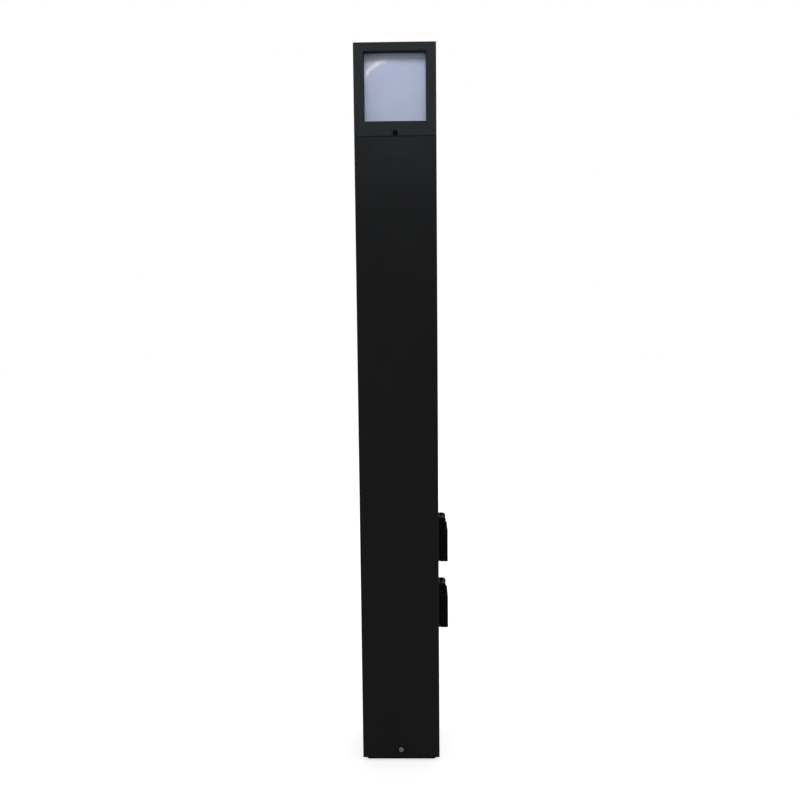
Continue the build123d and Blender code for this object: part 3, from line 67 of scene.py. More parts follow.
# The opal panel's foremost point, and the radius of its dome.
PANEL_APEX = Vector((0.0, -42.1 * MM, 943.5 * MM))
PANEL_DOME = 1200.0 * MM


class Facing(Enum):
    """The way that a screw's head looks."""

    FRONT = (0.0, -1.0, 0.0)
    BACK = (0.0, 1.0, 0.0)
    RIGHT = (1.0, 0.0, 0.0)


class Body(Enum):
    """The bodies that pieces ride on."""

    POST = "post"
    UPPER_LID = "upper_lid"
    LOWER_LID = "lower_lid"


# Node trees

class Shader:
    """A material's node tree with a Principled shader, built step by step."""

    def __init__(self, name: str) -> None:
        """Start the material.

        Args:
            name: The material's name.
        """
        self.material = bpy.data.materials.new(name)
        self.material.use_nodes = True
        self.tree = self.material.node_tree
        self.principled = self.tree.nodes["Principled BSDF"]
        self.place = self.node("ShaderNodeTexCoord").outputs["Object"]

    def node(self, kind: str, **values: object) -> bpy.types.Node:
        """Add a node.

        Args:
            kind: The node's type.
            values: Its properties.

        Returns:
            The node.
        """
        made = self.tree.nodes.new(kind)
        for key, value in values.items():
            setattr(made, key, value)
        return made

    def link(self, source: Socket, target: Socket) -> None:
        """Join two sockets."""
        self.tree.links.new(source, target)

    def set(self, **values: object) -> None:
        """Set the Principled shader's own sockets, with _ for a space in a name."""
        for key, value in values.items():
            self.principled.inputs[key.replace("_", " ")].default_value = value

    def feed(self, name: str, source: Socket) -> None:
        """Feed one of the Principled shader's own sockets."""
        self.link(source, self.principled.inputs[name])

    def noise(self, grain: float, detail: float = 2.0,
              stretch: Triple = (1.0, 1.0, 1.0)) -> Socket:
        """Noise whose blotches are about one grain across.

        Args:
            grain: The size of a blotch, in metres.
            detail: How many finer layers it has.
            stretch: The scale along each axis, below 1 where blotches are long.

        Returns:
            The noise's factor.
        """
        mapping = self.node("ShaderNodeMapping")
        mapping.inputs["Scale"].default_value = stretch
        self.link(self.place, mapping.inputs["Vector"])
        noise = self.node("ShaderNodeTexNoise")
        noise.inputs["Scale"].default_value = 1.0 / grain
        noise.inputs["Detail"].default_value = detail
        self.link(mapping.outputs["Vector"], noise.inputs["Vector"])
        return noise.outputs["Fac"]

    def remap(self, value: Socket, low: float, high: float,
              start: float = 0.3, end: float = 0.7) -> Socket:
        """Stretch a factor to a range.

        Args:
            value: The factor.
            low: The result at start.
            high: The result at end.
            start: The factor that gives low.
            end: The factor that gives high.

        Returns:
            The stretched value.
        """
        node = self.node("ShaderNodeMapRange")
        node.inputs["From Min"].default_value = start
        node.inputs["From Max"].default_value = end
        node.inputs["To Min"].default_value = low
        node.inputs["To Max"].default_value = high
        self.link(value, node.inputs["Value"])
        return node.outputs["Result"]

    def blend(self, share: Socket, first: Colour, second: Colour) -> Socket:
        """Mix two colours by a factor.

        Args:
            share: The factor.
            first: The colour at 0.
            second: The colour at 1.

        Returns:
            The mixed colour.
        """
        node = self.node("ShaderNodeMix", data_type="RGBA")
        colour_inputs = [s for s in node.inputs if s.type == "RGBA"]
        colour_inputs[0].default_value = (*first, 1.0)
        colour_inputs[1].default_value = (*second, 1.0)
        self.link(share, node.inputs["Factor"])
        return next(s for s in node.outputs if s.type == "RGBA")

    def bump(self, height: Socket, depth: float) -> None:
        """Raise the surface by a height map.

        Args:
            height: The height, from 0 to 1.
            depth: The depth of the relief in metres.
        """
        node = self.node("ShaderNodeBump")
        node.inputs["Distance"].default_value = depth
        self.link(height, node.inputs["Height"])
        self.feed("Normal", node.outputs["Normal"])

    def roughen(self, source: Socket, middle: float, spread: float) -> None:
        """Vary the roughness about its middle value.

        Args:
            source: The factor that varies it.
            middle: The middle value.
            spread: How far it goes each way.
        """
        self.feed("Roughness", self.remap(source, middle - spread, middle + spread))


def shade(colour: Colour, share: float) -> Colour:
    """A colour made lighter or darker.

    Args:
        colour: The colour.
        share: What it is multiplied by.

    Returns:
        The new colour.
    """
    return tuple(min(1.0, channel * share) for channel in colour)


@dataclass(frozen=True)
class PowderCoat:
    """Fine-textured matte powder coat on metal."""

    name: str
    colour: Colour
    rough: float = 0.55
    rough_spread: float = 0.05
    patch: float = 4 * MM
    grain: float = 0.7 * MM
    depth: float = 0.035 * MM
    speck_share: float = 0.6
    speckle: float = 0.12
    cloud: float = 0.06
    cloud_size: float = 60 * MM
    reach: float = 0.3
    gloss: float = 0.03

    def material(self) -> bpy.types.Material:
        """Build the coat: orange-peel relief, fine speckle and slow clouding.

        Returns:
            The material.
        """
        shader = Shader(self.name)
        fine = shader.noise(self.grain * self.speck_share, detail=3.0)
        speck = shader.remap(fine, -self.speckle, self.speckle)
        clouds = shader.remap(shader.noise(self.cloud_size), -self.cloud, self.cloud)
        total = shader.node("ShaderNodeMath", operation="ADD")
        shader.link(speck, total.inputs[0])
        shader.link(clouds, total.inputs[1])
        share = shader.remap(total.outputs["Value"], 0.0, 1.0, -self.reach, self.reach)
        dark, light = (shade(self.colour, 1 + way * self.reach) for way in (-1, 1))
        shader.feed("Base Color", shader.blend(share, dark, light))
        shader.roughen(shader.noise(self.patch), self.rough, self.rough_spread)
        shader.set(Specular_IOR_Level=self.gloss)
        shader.bump(shader.noise(self.grain), self.depth)
        return shader.material


@dataclass(frozen=True)
class Moulding:
    """Moulded plastic or rubber with a fine spark-eroded grain."""

    name: str
    colour: Colour
    rough: float = 0.45
    rough_spread: float = 0.06
    patch: float = 2.5 * MM
    grain: float = 0.25 * MM
    depth: float = 0.012 * MM
    flow: float = 0.08
    flow_size: float = 9 * MM
    gloss: float = 0.5

    def material(self) -> bpy.types.Material:
        """Build the plastic: grain, flow shading and uneven gloss.

        Returns:
            The material.
        """
        shader = Shader(self.name)
        flow = shader.remap(shader.noise(self.flow_size), 0.0, 1.0)
        dark, light = (shade(self.colour, 1 + way * self.flow) for way in (-1, 1))
        shader.feed("Base Color", shader.blend(flow, dark, light))
        shader.roughen(shader.noise(self.patch, detail=3.0), self.rough, self.rough_spread)
        shader.set(Specular_IOR_Level=self.gloss)
        shader.bump(shader.noise(self.grain, detail=1.0), self.depth)
        return shader.material


@dataclass(frozen=True)
class OpalPanel:
    """Glossy opal acrylic that scatters light inside."""

    name: str
    colour: Colour
    rough: float = 0.045
    rough_spread: float = 0.01
    patch: float = 12 * MM
    cloud: float = 0.015
    cloud_size: float = 25 * MM
    ior: float = 1.49
    milk: float = 0.25
    scatter: float = 2 * MM
    wave: float = 30 * MM
    depth: float = 0.01 * MM

    def material(self) -> bpy.types.Material:
        """Build the acrylic: milky body, clear polish, faint waviness.

        Returns:
            The material.
        """
        shader = Shader(self.name)
        cloud = shader.remap(shader.noise(self.cloud_size, detail=1.0), 0.0, 1.0)
        dark, light = (shade(self.colour, 1 + way * self.cloud) for way in (-1, 1))
        shader.feed("Base Color", shader.blend(cloud, dark, light))
        shader.roughen(shader.noise(self.patch), self.rough, self.rough_spread)
        shader.set(IOR=self.ior, Subsurface_Weight=self.milk, Subsurface_Scale=self.scatter)
        shader.bump(shader.noise(self.wave, detail=0.0), self.depth)
        return shader.material


@dataclass(frozen=True)
class Metal:
    """Bare or plated metal, brushed along one axis."""

    name: str
    colour: Colour
    rough: float = 0.35
    rough_spread: float = 0.08
    brush: Triple = (1.0, 1.0, 1.0)
    grain: float = 0.3 * MM
    depth: float = 0.006 * MM
    tarnish: float = 0.86
    tarnish_size: float = 6 * MM

    def material(self) -> bpy.types.Material:
        """Build the metal: brushed roughness and slight tarnish.

        Returns:
            The material.
        """
        shader = Shader(self.name)
        dull = shader.remap(shader.noise(self.tarnish_size, detail=3.0), 0.0, 1.0)
        dark = shade(self.colour, self.tarnish)
        shader.feed("Base Color", shader.blend(dull, dark, self.colour))
        strokes = shader.noise(self.grain, 3.0, self.brush)
        shader.roughen(strokes, self.rough, self.rough_spread)
        shader.set(Metallic=1.0)
        shader.bump(strokes, self.depth)
        return shader.material


@dataclass(frozen=True)
class StripedInsulation:
    """Wire insulation in two colours, in bands across the post's axes."""

    name: str
    colour: Colour
    stripe: Colour
    pitch: float = 3.2 * MM
    bands: float = 0.35
    edge: float = 0.05
    rough: float = 0.37
    rough_spread: float = 0.05
    patch: float = 1.5 * MM

    def material(self) -> bpy.types.Material:
        """Build the insulation: a slanting stripe and a soft shine.

        Returns:
            The material.
        """
        shader = Shader(self.name)
        wave = shader.node("ShaderNodeTexWave", wave_type="BANDS", bands_direction="DIAGONAL")
        wave.inputs["Scale"].default_value = self.bands / self.pitch
        shader.link(shader.place, wave.inputs["Vector"])
        sharp = shader.remap(wave.outputs["Fac"], 0.0, 1.0, 0.5 - self.edge, 0.5 + self.edge)
        shader.feed("Base Color", shader.blend(sharp, self.colour, self.stripe))
        shader.roughen(shader.noise(self.patch), self.rough, self.rough_spread)
        return shader.material


Finish = PowderCoat | Moulding | OpalPanel | Metal | StripedInsulation

# Strokes that run up the post: their pattern is twenty times as long as it is wide.
BRUSH_UP = (1.0, 1.0, 0.05)

FINISHES: dict[str, Finish] = {finish.name: finish for finish in (
    # The head and the column wear one coat. The head's copy is painted lighter and the column's
    # darker: painted light and shade for the lamps' falloff down the post.
    PowderCoat("head_coat_painted_light", (0.0244, 0.0266, 0.0286)),
    PowderCoat("column_coat_painted_shade", (0.0200, 0.0208, 0.0220)),
    PowderCoat("casting", (0.0150, 0.0160, 0.0170), rough=0.6, grain=1.2 * MM, depth=0.06 * MM),
    Moulding("lid_plastic", (0.0060, 0.0060, 0.0062), rough=0.42, gloss=0.02),
    Moulding("well_plastic", (0.0085, 0.0085, 0.0090), rough=0.48, gloss=0.04),
    Moulding("rubber", (0.0130, 0.0130, 0.0130), rough=0.75, grain=0.4 * MM, depth=0.02 * MM,
             gloss=0.1),
    Moulding("grey_rubber", (0.10, 0.10, 0.10), rough=0.7, grain=0.4 * MM),
    OpalPanel("opal", (0.437, 0.482, 0.640)),
    Metal("stainless", (0.60, 0.59, 0.57), rough=0.30),
    Metal("dull_steel", (0.130, 0.130, 0.130), rough=0.45),
    Metal("black_screw", (0.0045, 0.0045, 0.0048), rough=0.42),
    Metal("zinc", (0.62, 0.64, 0.66), rough=0.38, brush=BRUSH_UP),
    Metal("spring_steel", (0.060, 0.060, 0.062), rough=0.30, rough_spread=0.04),
    Metal("brass", (0.78, 0.56, 0.24), rough=0.28),
    Metal("nickel", (0.70, 0.67, 0.62), rough=0.22, rough_spread=0.05),
    Moulding("white_plastic", (0.72, 0.72, 0.69), rough=0.4, flow=0.02),
    Moulding("grey_plastic", (0.26, 0.27, 0.28), rough=0.5),
    Moulding("board", (0.78, 0.78, 0.75), rough=0.3, flow=0.015),
    Moulding("phosphor", (0.78, 0.62, 0.08), rough=0.25, flow=0.03),
    Moulding("live_brown", (0.150, 0.060, 0.025), rough=0.38),
    Moulding("neutral_blue", (0.030, 0.130, 0.430), rough=0.38),
    StripedInsulation("earth_stripe", (0.060, 0.300, 0.045), (0.750, 0.640, 0.030)),
    Moulding("white_insulation", (0.70, 0.70, 0.68), rough=0.38, flow=0.02),
)}


class Workshop:
    """Makes each finish once, and dresses and reports pieces."""

    def __init__(self) -> None:
        """Start with no material made."""
        self._made: dict[str, bpy.types.Material] = {}

    def material(self, finish: str) -> bpy.types.Material:
        """The material of a finish, made on first use.

        Args:
            finish: The finish's name.

        Returns:
            The material.
        """
        if finish not in self._made:
            self._made[finish] = FINISHES[finish].material()
        return self._made[finish]

    def dress(self, finish: str, *nodes: str) -> None:
        """Give carried-over nodes a finish.

        Args:
            finish: The finish's name.
            nodes: The nodes' names.
        """
        for name in nodes:
            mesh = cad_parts[name].data
            mesh.materials.clear()
            mesh.materials.append(self.material(finish))
            LOG.info("node %s in %s", name, finish)

    def adopt(self, piece: bpy.types.Object, finish: str, body: Body | None, slot: str,
              *nodes: str) -> bpy.types.Object:
        """Finish a new piece: its material, body and the nodes that it stands for.

        Args:
            piece: The piece.
            finish: The finish's name.
            body: The body that it rides on, or None to leave it on no body.
            slot: The record's material slot; not used.
            nodes: The nodes that it replaces.

        Returns:
            The piece.
        """
        piece.data.materials.clear()
        piece.data.materials.append(self.material(finish))
        if body:
            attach(piece, body.value)
        if nodes:
            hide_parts(*nodes)
        LOG.info("piece %s in %s, %d faces", piece.name, finish, len(piece.data.polygons))
        return piece


def new_piece(name: str, mesh: bpy.types.Mesh) -> bpy.types.Object:
    """An object for a mesh, linked to the scene.

    Args:
        name: The piece's name.
        mesh: Its mesh.

    Returns:
        The object.
    """
    piece = bpy.data.objects.new(name, mesh)
    bpy.context.scene.collection.objects.link(piece)
    return piece


def applied(piece: bpy.types.Object) -> bpy.types.Object:
    """Turn a piece's modifiers into its mesh.

    Args:
        piece: The piece.

    Returns:
        The same object, with a plain mesh.
    """
    bpy.context.view_layer.update()
    graph = bpy.context.evaluated_depsgraph_get()
    mesh = bpy.data.meshes.new_from_object(piece.evaluated_get(graph))
    old = piece.data
    piece.modifiers.clear()
    piece.data = mesh
    if old.users == 0:
        bpy.data.meshes.remove(old)
    return piece


@dataclass
class Softened:
    """A copy of a node with its sharp edges rounded, as a cast, coated or moulded part has."""

    node: str
    radius: float
    segments: int = 2
    sharp: float = math.radians(32)
    flat: float = math.radians(0.4)

    def build(self) -> bpy.types.Object:
        """Copy the node, merge its triangles and round its edges.

        Returns:
            The rounded piece, with a plain mesh.
        """
        name = self.node + DRESSED
        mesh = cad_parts[self.node].data.copy()
        mesh.name = name
        work = bmesh.new()
        work.from_mesh(mesh)
        bmesh.ops.remove_doubles(work, verts=work.verts, dist=WELD)
        bmesh.ops.dissolve_limit(work, angle_limit=self.flat, verts=work.verts, edges=work.edges)
        work.to_mesh(mesh)
        work.free()
        piece = new_piece(name, mesh)
        bevel = piece.modifiers.new("edges", "BEVEL")
        bevel.width = self.radius
        bevel.segments = self.segments
        bevel.limit_method = "ANGLE"
        bevel.angle_limit = self.sharp
        return smoothed(applied(piece), self.sharp)


def smoothed(piece: bpy.types.Object, sharp: float) -> bpy.types.Object:
    """Shade a piece smooth, except across sharp edges.

    Args:
        piece: The piece.
        sharp: The angle past which an edge stays sharp.

    Returns:
        The same piece.
    """
    piece.data.polygons.foreach_set("use_smooth", [True] * len(piece.data.polygons))
    piece.data.set_sharp_from_angle(angle=sharp)
    weighted = piece.modifiers.new("normals", "WEIGHTED_NORMAL")
    weighted.keep_sharp = True
    return applied(piece)


def domed(piece: bpy.types.Object, cells: int = 24, near: float = 0.05 * MM) -> bpy.types.Object:
    """Cut the panel's front finely and lay it on its true dome, so that it mirrors cleanly.

    Args:
        piece: The panel.
        cells: How many cells the front gets each way.
        near: How far from the dome a corner of the front may lie.

    Returns:
        The same piece.
    """
    middle = PANEL_APEX + Vector((0.0, PANEL_DOME, 0.0))
    work = bmesh.new()
    work.from_mesh(piece.data)
    for face in work.faces:
        off = max(abs((vert.co - middle).length - PANEL_DOME) for vert in face.verts)
        face.material_index = int(off < near and face.normal.y < 0)
    front = [face for face in work.faces if face.material_index]
    low = Vector(min(vert.co[axis] for face in front for vert in face.verts) for axis in range(3))
    high = Vector(max(vert.co[axis] for face in front for vert in face.verts) for axis in range(3))
    for step in range(1, cells):
        for normal in (Vector((1.0, 0.0, 0.0)), Vector((0.0, 0.0, 1.0))):
            front = [face for face in work.faces if face.material_index]
            edges = {edge for face in front for edge in face.edges}
            verts = {vert for face in front for vert in face.verts}
            bmesh.ops.bisect_plane(work, geom=front + list(edges) + list(verts),
                                   plane_co=low.lerp(high, step / cells), plane_no=normal)
    for vert in {vert for face in work.faces if face.material_index for vert in face.verts}:
        away = vert.co - middle
        vert.co.y = middle.y - math.sqrt(PANEL_DOME**2 - away.x**2 - away.z**2)
    for face in work.faces:
        face.material_index = 0
    LOG.info("panel front cut into %d by %d cells", cells, cells)
    work.to_mesh(piece.data)
    work.free()
    return piece


def islands(node: str) -> list[tuple[Vector, Vector]]:
    """The boxes of a node's separate solids, from low to high.

    Args:
        node: The node's name.

    Returns:
        The lowest and highest corner of each.
    """
    work = bmesh.new()
    work.from_mesh(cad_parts[node].data)
    bmesh.ops.remove_doubles(work, verts=work.verts, dist=WELD)
    left = set(work.verts)
    boxes = []
    while left:
        edge = {left.pop()}
        low = Vector((math.inf,) * 3)
        high = -low
        while edge:
            vert = edge.pop()
            low = Vector(map(min, low, vert.co))
            high = Vector(map(max, high, vert.co))
            near = {e.other_vert(vert) for e in vert.link_edges} & left
            left -= near
            edge |= near
        boxes.append((low, high))
    work.free()
    return sorted(boxes, key=lambda box: tuple(round(v, 6) for v in box[0]))


class Tree:
    """A geometry node tree with named inputs, built step by step."""

    def __init__(self, name: str, sizes: Iterable[str]) -> None:
        """Start the tree.

        Args:
            name: The tree's name.
            sizes: The names of its size inputs.
        """
        self.group = bpy.data.node_groups.new(name, "GeometryNodeTree")
        face = self.group.interface
        face.new_socket("Geometry", in_out="INPUT", socket_type="NodeSocketGeometry")
        for size in sizes:
            face.new_socket(size, in_out="INPUT", socket_type="NodeSocketFloat")
        face.new_socket("Material", in_out="INPUT", socket_type="NodeSocketMaterial")
        face.new_socket("Geometry", in_out="OUTPUT", socket_type="NodeSocketGeometry")
        self.source = self.group.nodes.new("NodeGroupInput").outputs
        self.end = self.group.nodes.new("NodeGroupOutput").inputs

    def add(self, kind: str, links: dict[str | int, object] | None = None,
            **values: object) -> bpy.types.Node:
        """Add a node and feed its inputs.

        Args:
            kind: The node's type.
            links: Sockets or plain values for its inputs, by name or number.
            values: The node's properties.

        Returns:
            The node.
        """
        node = self.group.nodes.new(kind)
        for key, value in values.items():
            setattr(node, key, value)
        for key, value in (links or {}).items():
            if isinstance(value, bpy.types.NodeSocket):
                self.group.links.new(value, node.inputs[key])
            else:
                node.inputs[key].default_value = value
        return node

    def math(self, operation: str, *terms: object) -> Socket:
        """A math node's result.

        Args:
            operation: The operation.
            terms: Its one, two or three terms.

        Returns:
            The result.
        """
        return self.add("ShaderNodeMath", dict(enumerate(terms)), operation=operation).outputs[0]

    def vector(self, x: object, y: object, z: object) -> Socket:
        """A vector from three numbers."""
        return self.add("ShaderNodeCombineXYZ", {0: x, 1: y, 2: z}).outputs[0]

    def join(self, *parts: Socket) -> Socket:
        """Several geometries as one.

        Args:
            parts: The geometries.

        Returns:
            The whole.
        """
        whole = self.add("GeometryNodeJoinGeometry")
        for part in parts:
            self.group.links.new(part, whole.inputs[0])
        return whole.outputs[0]

    def finish(self, geometry: Socket) -> bpy.types.NodeTree:
        """Make instances real, set the material and close the tree.

        Args:
            geometry: What the tree has made.

        Returns:
            The node tree.
        """
        real = self.add("GeometryNodeRealizeInstances", {"Geometry": geometry})
        dressed = self.add("GeometryNodeSetMaterial",
                           {"Geometry": real.outputs[0], "Material": self.source["Material"]})
        self.group.links.new(dressed.outputs[0], self.end[0])
        return self.group


def grown(piece: bpy.types.Object, tree: bpy.types.NodeTree,
          values: dict[str, object]) -> bpy.types.Object:
    """Run a geometry node tree on a piece and keep the result as its mesh.

    Args:
        piece: The piece that holds the tree's points.
        tree: The node tree.
        values: The tree's inputs by name.

    Returns:
        The same piece.
    """
    modifier = piece.modifiers.new("growth", "NODES")
    modifier.node_group = tree
    for item in tree.interface.items_tree:
        if item.in_out == "INPUT" and item.name in values:
            modifier[item.identifier] = values[item.name]
    return applied(piece)


# How finely a screw is made: its head's sides and rounding steps, and its shank's sides and
# rows of corners to one turn of the thread.
HEAD_SIDES = 48
DOME_STEPS = 5
SHANK_SIDES = 24
ROWS_PER_TURN = 6

# The arc that a domed head's side turns through.
DOME_TURN = math.radians(72)

# The flat on top of a head and its recess's rim, against the recess; and how much of the
# recess's depth its chamfer takes.
FLAT_SHARE = 1.35
RIM_SHARE = 1.18
CHAMFER_SHARE = 0.08


def screw_tree() -> bpy.types.NodeTree:
    """One tree for every screw: a domed or sunk head, a six-sided recess and a threaded shank.

    Returns:
        The node tree. Its points carry an outward direction.
    """
    tree = Tree("screws", ("Head Radius", "Head Height", "Head Foot", "Dome", "Shank Radius",
                           "Length", "Pitch", "Recess Radius", "Recess Depth"))
    head = screw_head(tree)
    whole = tree.join(screw_shank(tree), head)
    outward = tree.add("GeometryNodeInputNamedAttribute", {"Name": "outward"},
                       data_type="FLOAT_VECTOR")
    turned = tree.add("FunctionNodeAlignRotationToVector", {"Vector": outward.outputs[0]},
                      axis="Z")
    placed = tree.add("GeometryNodeInstanceOnPoints", {
        "Points": tree.source["Geometry"], "Instance": whole, "Rotation": turned.outputs[0]})
    return tree.finish(placed.outputs[0])


def ring_step(tree: Tree, geometry: Socket, top: Socket | bool, rise: object, reach: object,
              hexagon: bool = False) -> tuple[Socket, Socket]:
    """Pull a head's top face up and bring its rim to a new radius.

    Args:
        tree: The tree.
        geometry: The head so far.
        top: The selection of its top face.
        rise: How far the face moves along Z.
        reach: The new radius of its rim, or half the width across flats.
        hexagon: Whether the rim becomes a hexagon.

    Returns:
        The head and the selection of its new top face.
    """
    pulled = tree.add("GeometryNodeExtrudeMesh", {
        "Mesh": geometry, "Selection": top, "Offset": tree.vector(0.0, 0.0, 1.0),
        "Offset Scale": rise})
    place = tree.add("GeometryNodeInputPosition").outputs[0]
    apart = tree.add("ShaderNodeSeparateXYZ", {0: place}).outputs
    angle = tree.math("ARCTAN2", apart[1], apart[0])
    if hexagon:
        sixth = math.pi / 3
        folded = tree.math("SUBTRACT", tree.math("FLOORED_MODULO", angle, sixth), sixth / 2)
        reach = tree.math("DIVIDE", reach, tree.math("COSINE", folded))
    across, along = (tree.math("MULTIPLY", tree.math(wave, angle), reach)
                     for wave in ("COSINE", "SINE"))
    moved = tree.add("GeometryNodeSetPosition", {
        "Geometry": pulled.outputs["Mesh"], "Selection": pulled.outputs["Top"],
        "Position": tree.vector(across, along, apart[2])})
    return moved.outputs[0], pulled.outputs["Top"]


def screw_head(tree: Tree) -> Socket:
    """The head of the screw tree, on z = 0.

    Args:
        tree: The tree.

    Returns:
        The head's geometry.
    """
    size = tree.source
    full, dome = size["Head Radius"], size["Dome"]
    recess, depth = size["Recess Radius"], size["Recess Depth"]
    disc = tree.add("GeometryNodeMeshCircle",
                    {"Vertices": HEAD_SIDES, "Radius": size["Head Foot"]}, fill_type="NGON")
    base = tree.add("GeometryNodeFlipFaces", {"Mesh": disc.outputs[0]})
    side = tree.math("MULTIPLY", size["Head Height"], tree.math("SUBTRACT", 1.0, dome))
    geometry, top = ring_step(tree, disc.outputs[0], True, side, full)
    span = tree.math("SUBTRACT", full, tree.math("MULTIPLY", recess, FLAT_SHARE))
    before = 0.0
    for step in range(1, DOME_STEPS + 1):
        turn = step / DOME_STEPS * DOME_TURN
        height = math.sin(turn) / math.sin(DOME_TURN)
        rise = tree.math("MULTIPLY", size["Head Height"],
                         tree.math("MULTIPLY", dome, height - before))
        inward = tree.math("MULTIPLY", span, tree.math("MULTIPLY", dome, 1 - math.cos(turn)))
        geometry, top = ring_step(tree, geometry, top, rise,
                                  tree.math("SUBTRACT", full, inward))
        before = height
    rim = tree.math("MULTIPLY", recess, RIM_SHARE)
    geometry, top = ring_step(tree, geometry, top, 0.0, rim)
    for share in (CHAMFER_SHARE, 1 - CHAMFER_SHARE):
        sink = tree.math("MULTIPLY", depth, -share)
        geometry, top = ring_step(tree, geometry, top, sink, recess, hexagon=True)
    sunk = tree.add("GeometryNodeMergeByDistance", {
        "Geometry": tree.join(base.outputs[0], geometry), "Distance": WELD / 2})
    return sunk.outputs[0]


def screw_shank(tree: Tree) -> Socket:
    """The threaded shank of the screw tree, below z = 0.

    Args:
        tree: The tree.

    Returns:
        The shank's geometry.
    """
    size = tree.source
    turns = tree.math("DIVIDE", size["Length"], size["Pitch"])
    rows = tree.math("CEIL", tree.math("MULTIPLY", turns, ROWS_PER_TURN))
    bar = tree.add("GeometryNodeMeshCylinder", {
        "Vertices": SHANK_SIDES, "Side Segments": rows, "Radius": size["Shank Radius"],
        "Depth": size["Length"]})
    place = tree.add("GeometryNodeInputPosition").outputs[0]
    apart = tree.add("ShaderNodeSeparateXYZ", {0: place}).outputs
    turn = tree.math("DIVIDE", tree.math("ARCTAN2", apart[1], apart[0]), 2 * math.pi)
    phase = tree.math("ADD", tree.math("DIVIDE", apart[2], size["Pitch"]), turn)
    swing = tree.math("SUBTRACT", tree.math("FRACT", phase), 0.5)
    tooth = tree.math("MULTIPLY", tree.math("ABSOLUTE", swing), 2.0)
    bite = tree.math("DIVIDE", tree.math("MULTIPLY", size["Pitch"], 0.5), size["Shank Radius"])
    reach = tree.math("SUBTRACT", 1.0, tree.math("MULTIPLY", tooth, bite))
    down = tree.math("SUBTRACT", apart[2], tree.math("MULTIPLY", size["Length"], 0.5))
    across, along = (tree.math("MULTIPLY", apart[axis], reach) for axis in (0, 1))
    cut = tree.add("GeometryNodeSetPosition", {
        "Geometry": bar.outputs["Mesh"], "Position": tree.vector(across, along, down)})
    return cut.outputs[0]


@dataclass(frozen=True)
class ScrewForm:
    """The sizes of one kind of screw."""

    head_radius: float
    head_height: float
    shank_radius: float
    pitch: float
    recess_radius: float
    recess_depth: float
    dome: float = 0.5
    sunk: bool = False


M4_BUTTON = ScrewForm(3.8 * MM, 2.2 * MM, 2.0 * MM, 0.7 * MM, 1.25 * MM, 1.3 * MM, dome=0.82)
M3_SUNK = ScrewForm(2.75 * MM, 1.6 * MM, 1.5 * MM, 0.5 * MM, 1.0 * MM, 0.9 * MM, dome=0.0,
                    sunk=True)


@dataclass
class ScrewSet:
    """The screws of one node, each rebuilt with its recess and thread."""

    node: str
    form: ScrewForm
    facing: Sequence[Facing]
    finish: str
    slot: str
    shrink: float = 0.02 * MM
    sharp: float = math.radians(35)

    def direction(self, box: tuple[Vector, Vector]) -> Vector:
        """Which way a screw's head looks: the way from the post's middle, of those it may face.

        Args:
            box: The screw's box.

        Returns:
            The direction.
        """
        if len(self.facing) == 1:
            return Vector(self.facing[0].value)
        middle = (box[0] + box[1]) / 2
        return max((Vector(way.value) for way in self.facing), key=middle.dot)

    def build(self, tree: bpy.types.NodeTree, workshop: Workshop) -> bpy.types.Object:
        """Seat a screw wherever the node has one.

        Args:
            tree: The screws' node tree.
            workshop: What gives the finishes.

        Returns:
            The piece.
        """
        seats, ways, length = [], [], 0.0
        for box in islands(self.node):
            way = self.direction(box)
            middle = (box[0] + box[1]) / 2
            reach = abs((box[1] - box[0]).dot(way)) / 2
            head = 0.0 if self.form.sunk else self.form.head_height
            seats.append(middle + way * (reach - head))
            ways.append(way)
            length = 2 * reach - head
        mesh = bpy.data.meshes.new(self.node + DRESSED)
        mesh.from_pydata(seats, [], [])
        outward = mesh.attributes.new("outward", "FLOAT_VECTOR", "POINT")
        outward.data.foreach_set("vector", [c for way in ways for c in way])
        piece = new_piece(self.node + DRESSED, mesh)
        form = self.form
        grown(piece, tree, {
            "Head Radius": form.head_radius, "Head Height": form.head_height, "Dome": form.dome,
            "Head Foot": form.shank_radius if form.sunk else form.head_radius,
            "Shank Radius": form.shank_radius - self.shrink, "Length": length, "Pitch": form.pitch,
            "Recess Radius": form.recess_radius, "Recess Depth": form.recess_depth,
            "Material": workshop.material(self.finish),
        })
        if form.sunk:
            slide = [-way * form.head_height for way in ways]
            each = len(piece.data.vertices) // len(seats)
            for index, vertex in enumerate(piece.data.vertices):
                vertex.co += slide[min(index // each, len(slide) - 1)]
        smoothed(piece, self.sharp)
        return workshop.adopt(piece, self.finish, Body.POST, self.slot, self.node)


# Sub-assemblies

@dataclass
class Foot:
    """The cast foot with its grommet."""

    edge: float = 0.5 * MM

    def build(self, workshop: Workshop) -> None:
        """Round the casting's and the grommet's edges.

        Args:
            workshop: What finishes the pieces.
        """
        plate = Softened("foot_plate", self.edge).build()
        workshop.adopt(plate, "casting", Body.POST, "black_casting", "foot_plate")
        grommet = Softened("cable_grommet", self.edge).build()
        workshop.adopt(grommet, "rubber", Body.POST, "black_rubber", "cable_grommet")


@dataclass
class Column:
    """The extruded column and the screws that hold it."""

    edge: float = 0.25 * MM

    def build(self, workshop: Workshop, screws: bpy.types.NodeTree) -> None:
        """Round the tube's cut edges and seat its screws.

        Args:
            workshop: What finishes the pieces.
            screws: The screws' node tree.
        """
        tube = Softened("column_tube", self.edge).build()
        # The column takes the coat's darker copy, which is painted shade.
        workshop.adopt(tube, "column_coat_painted_shade", Body.POST, "anthracite_coat", "column_tube")
        bare = ScrewSet("column_screws", M4_BUTTON, (Facing.FRONT, Facing.BACK), "dull_steel",
                        "stainless_steel")
        bare.build(screws, workshop)


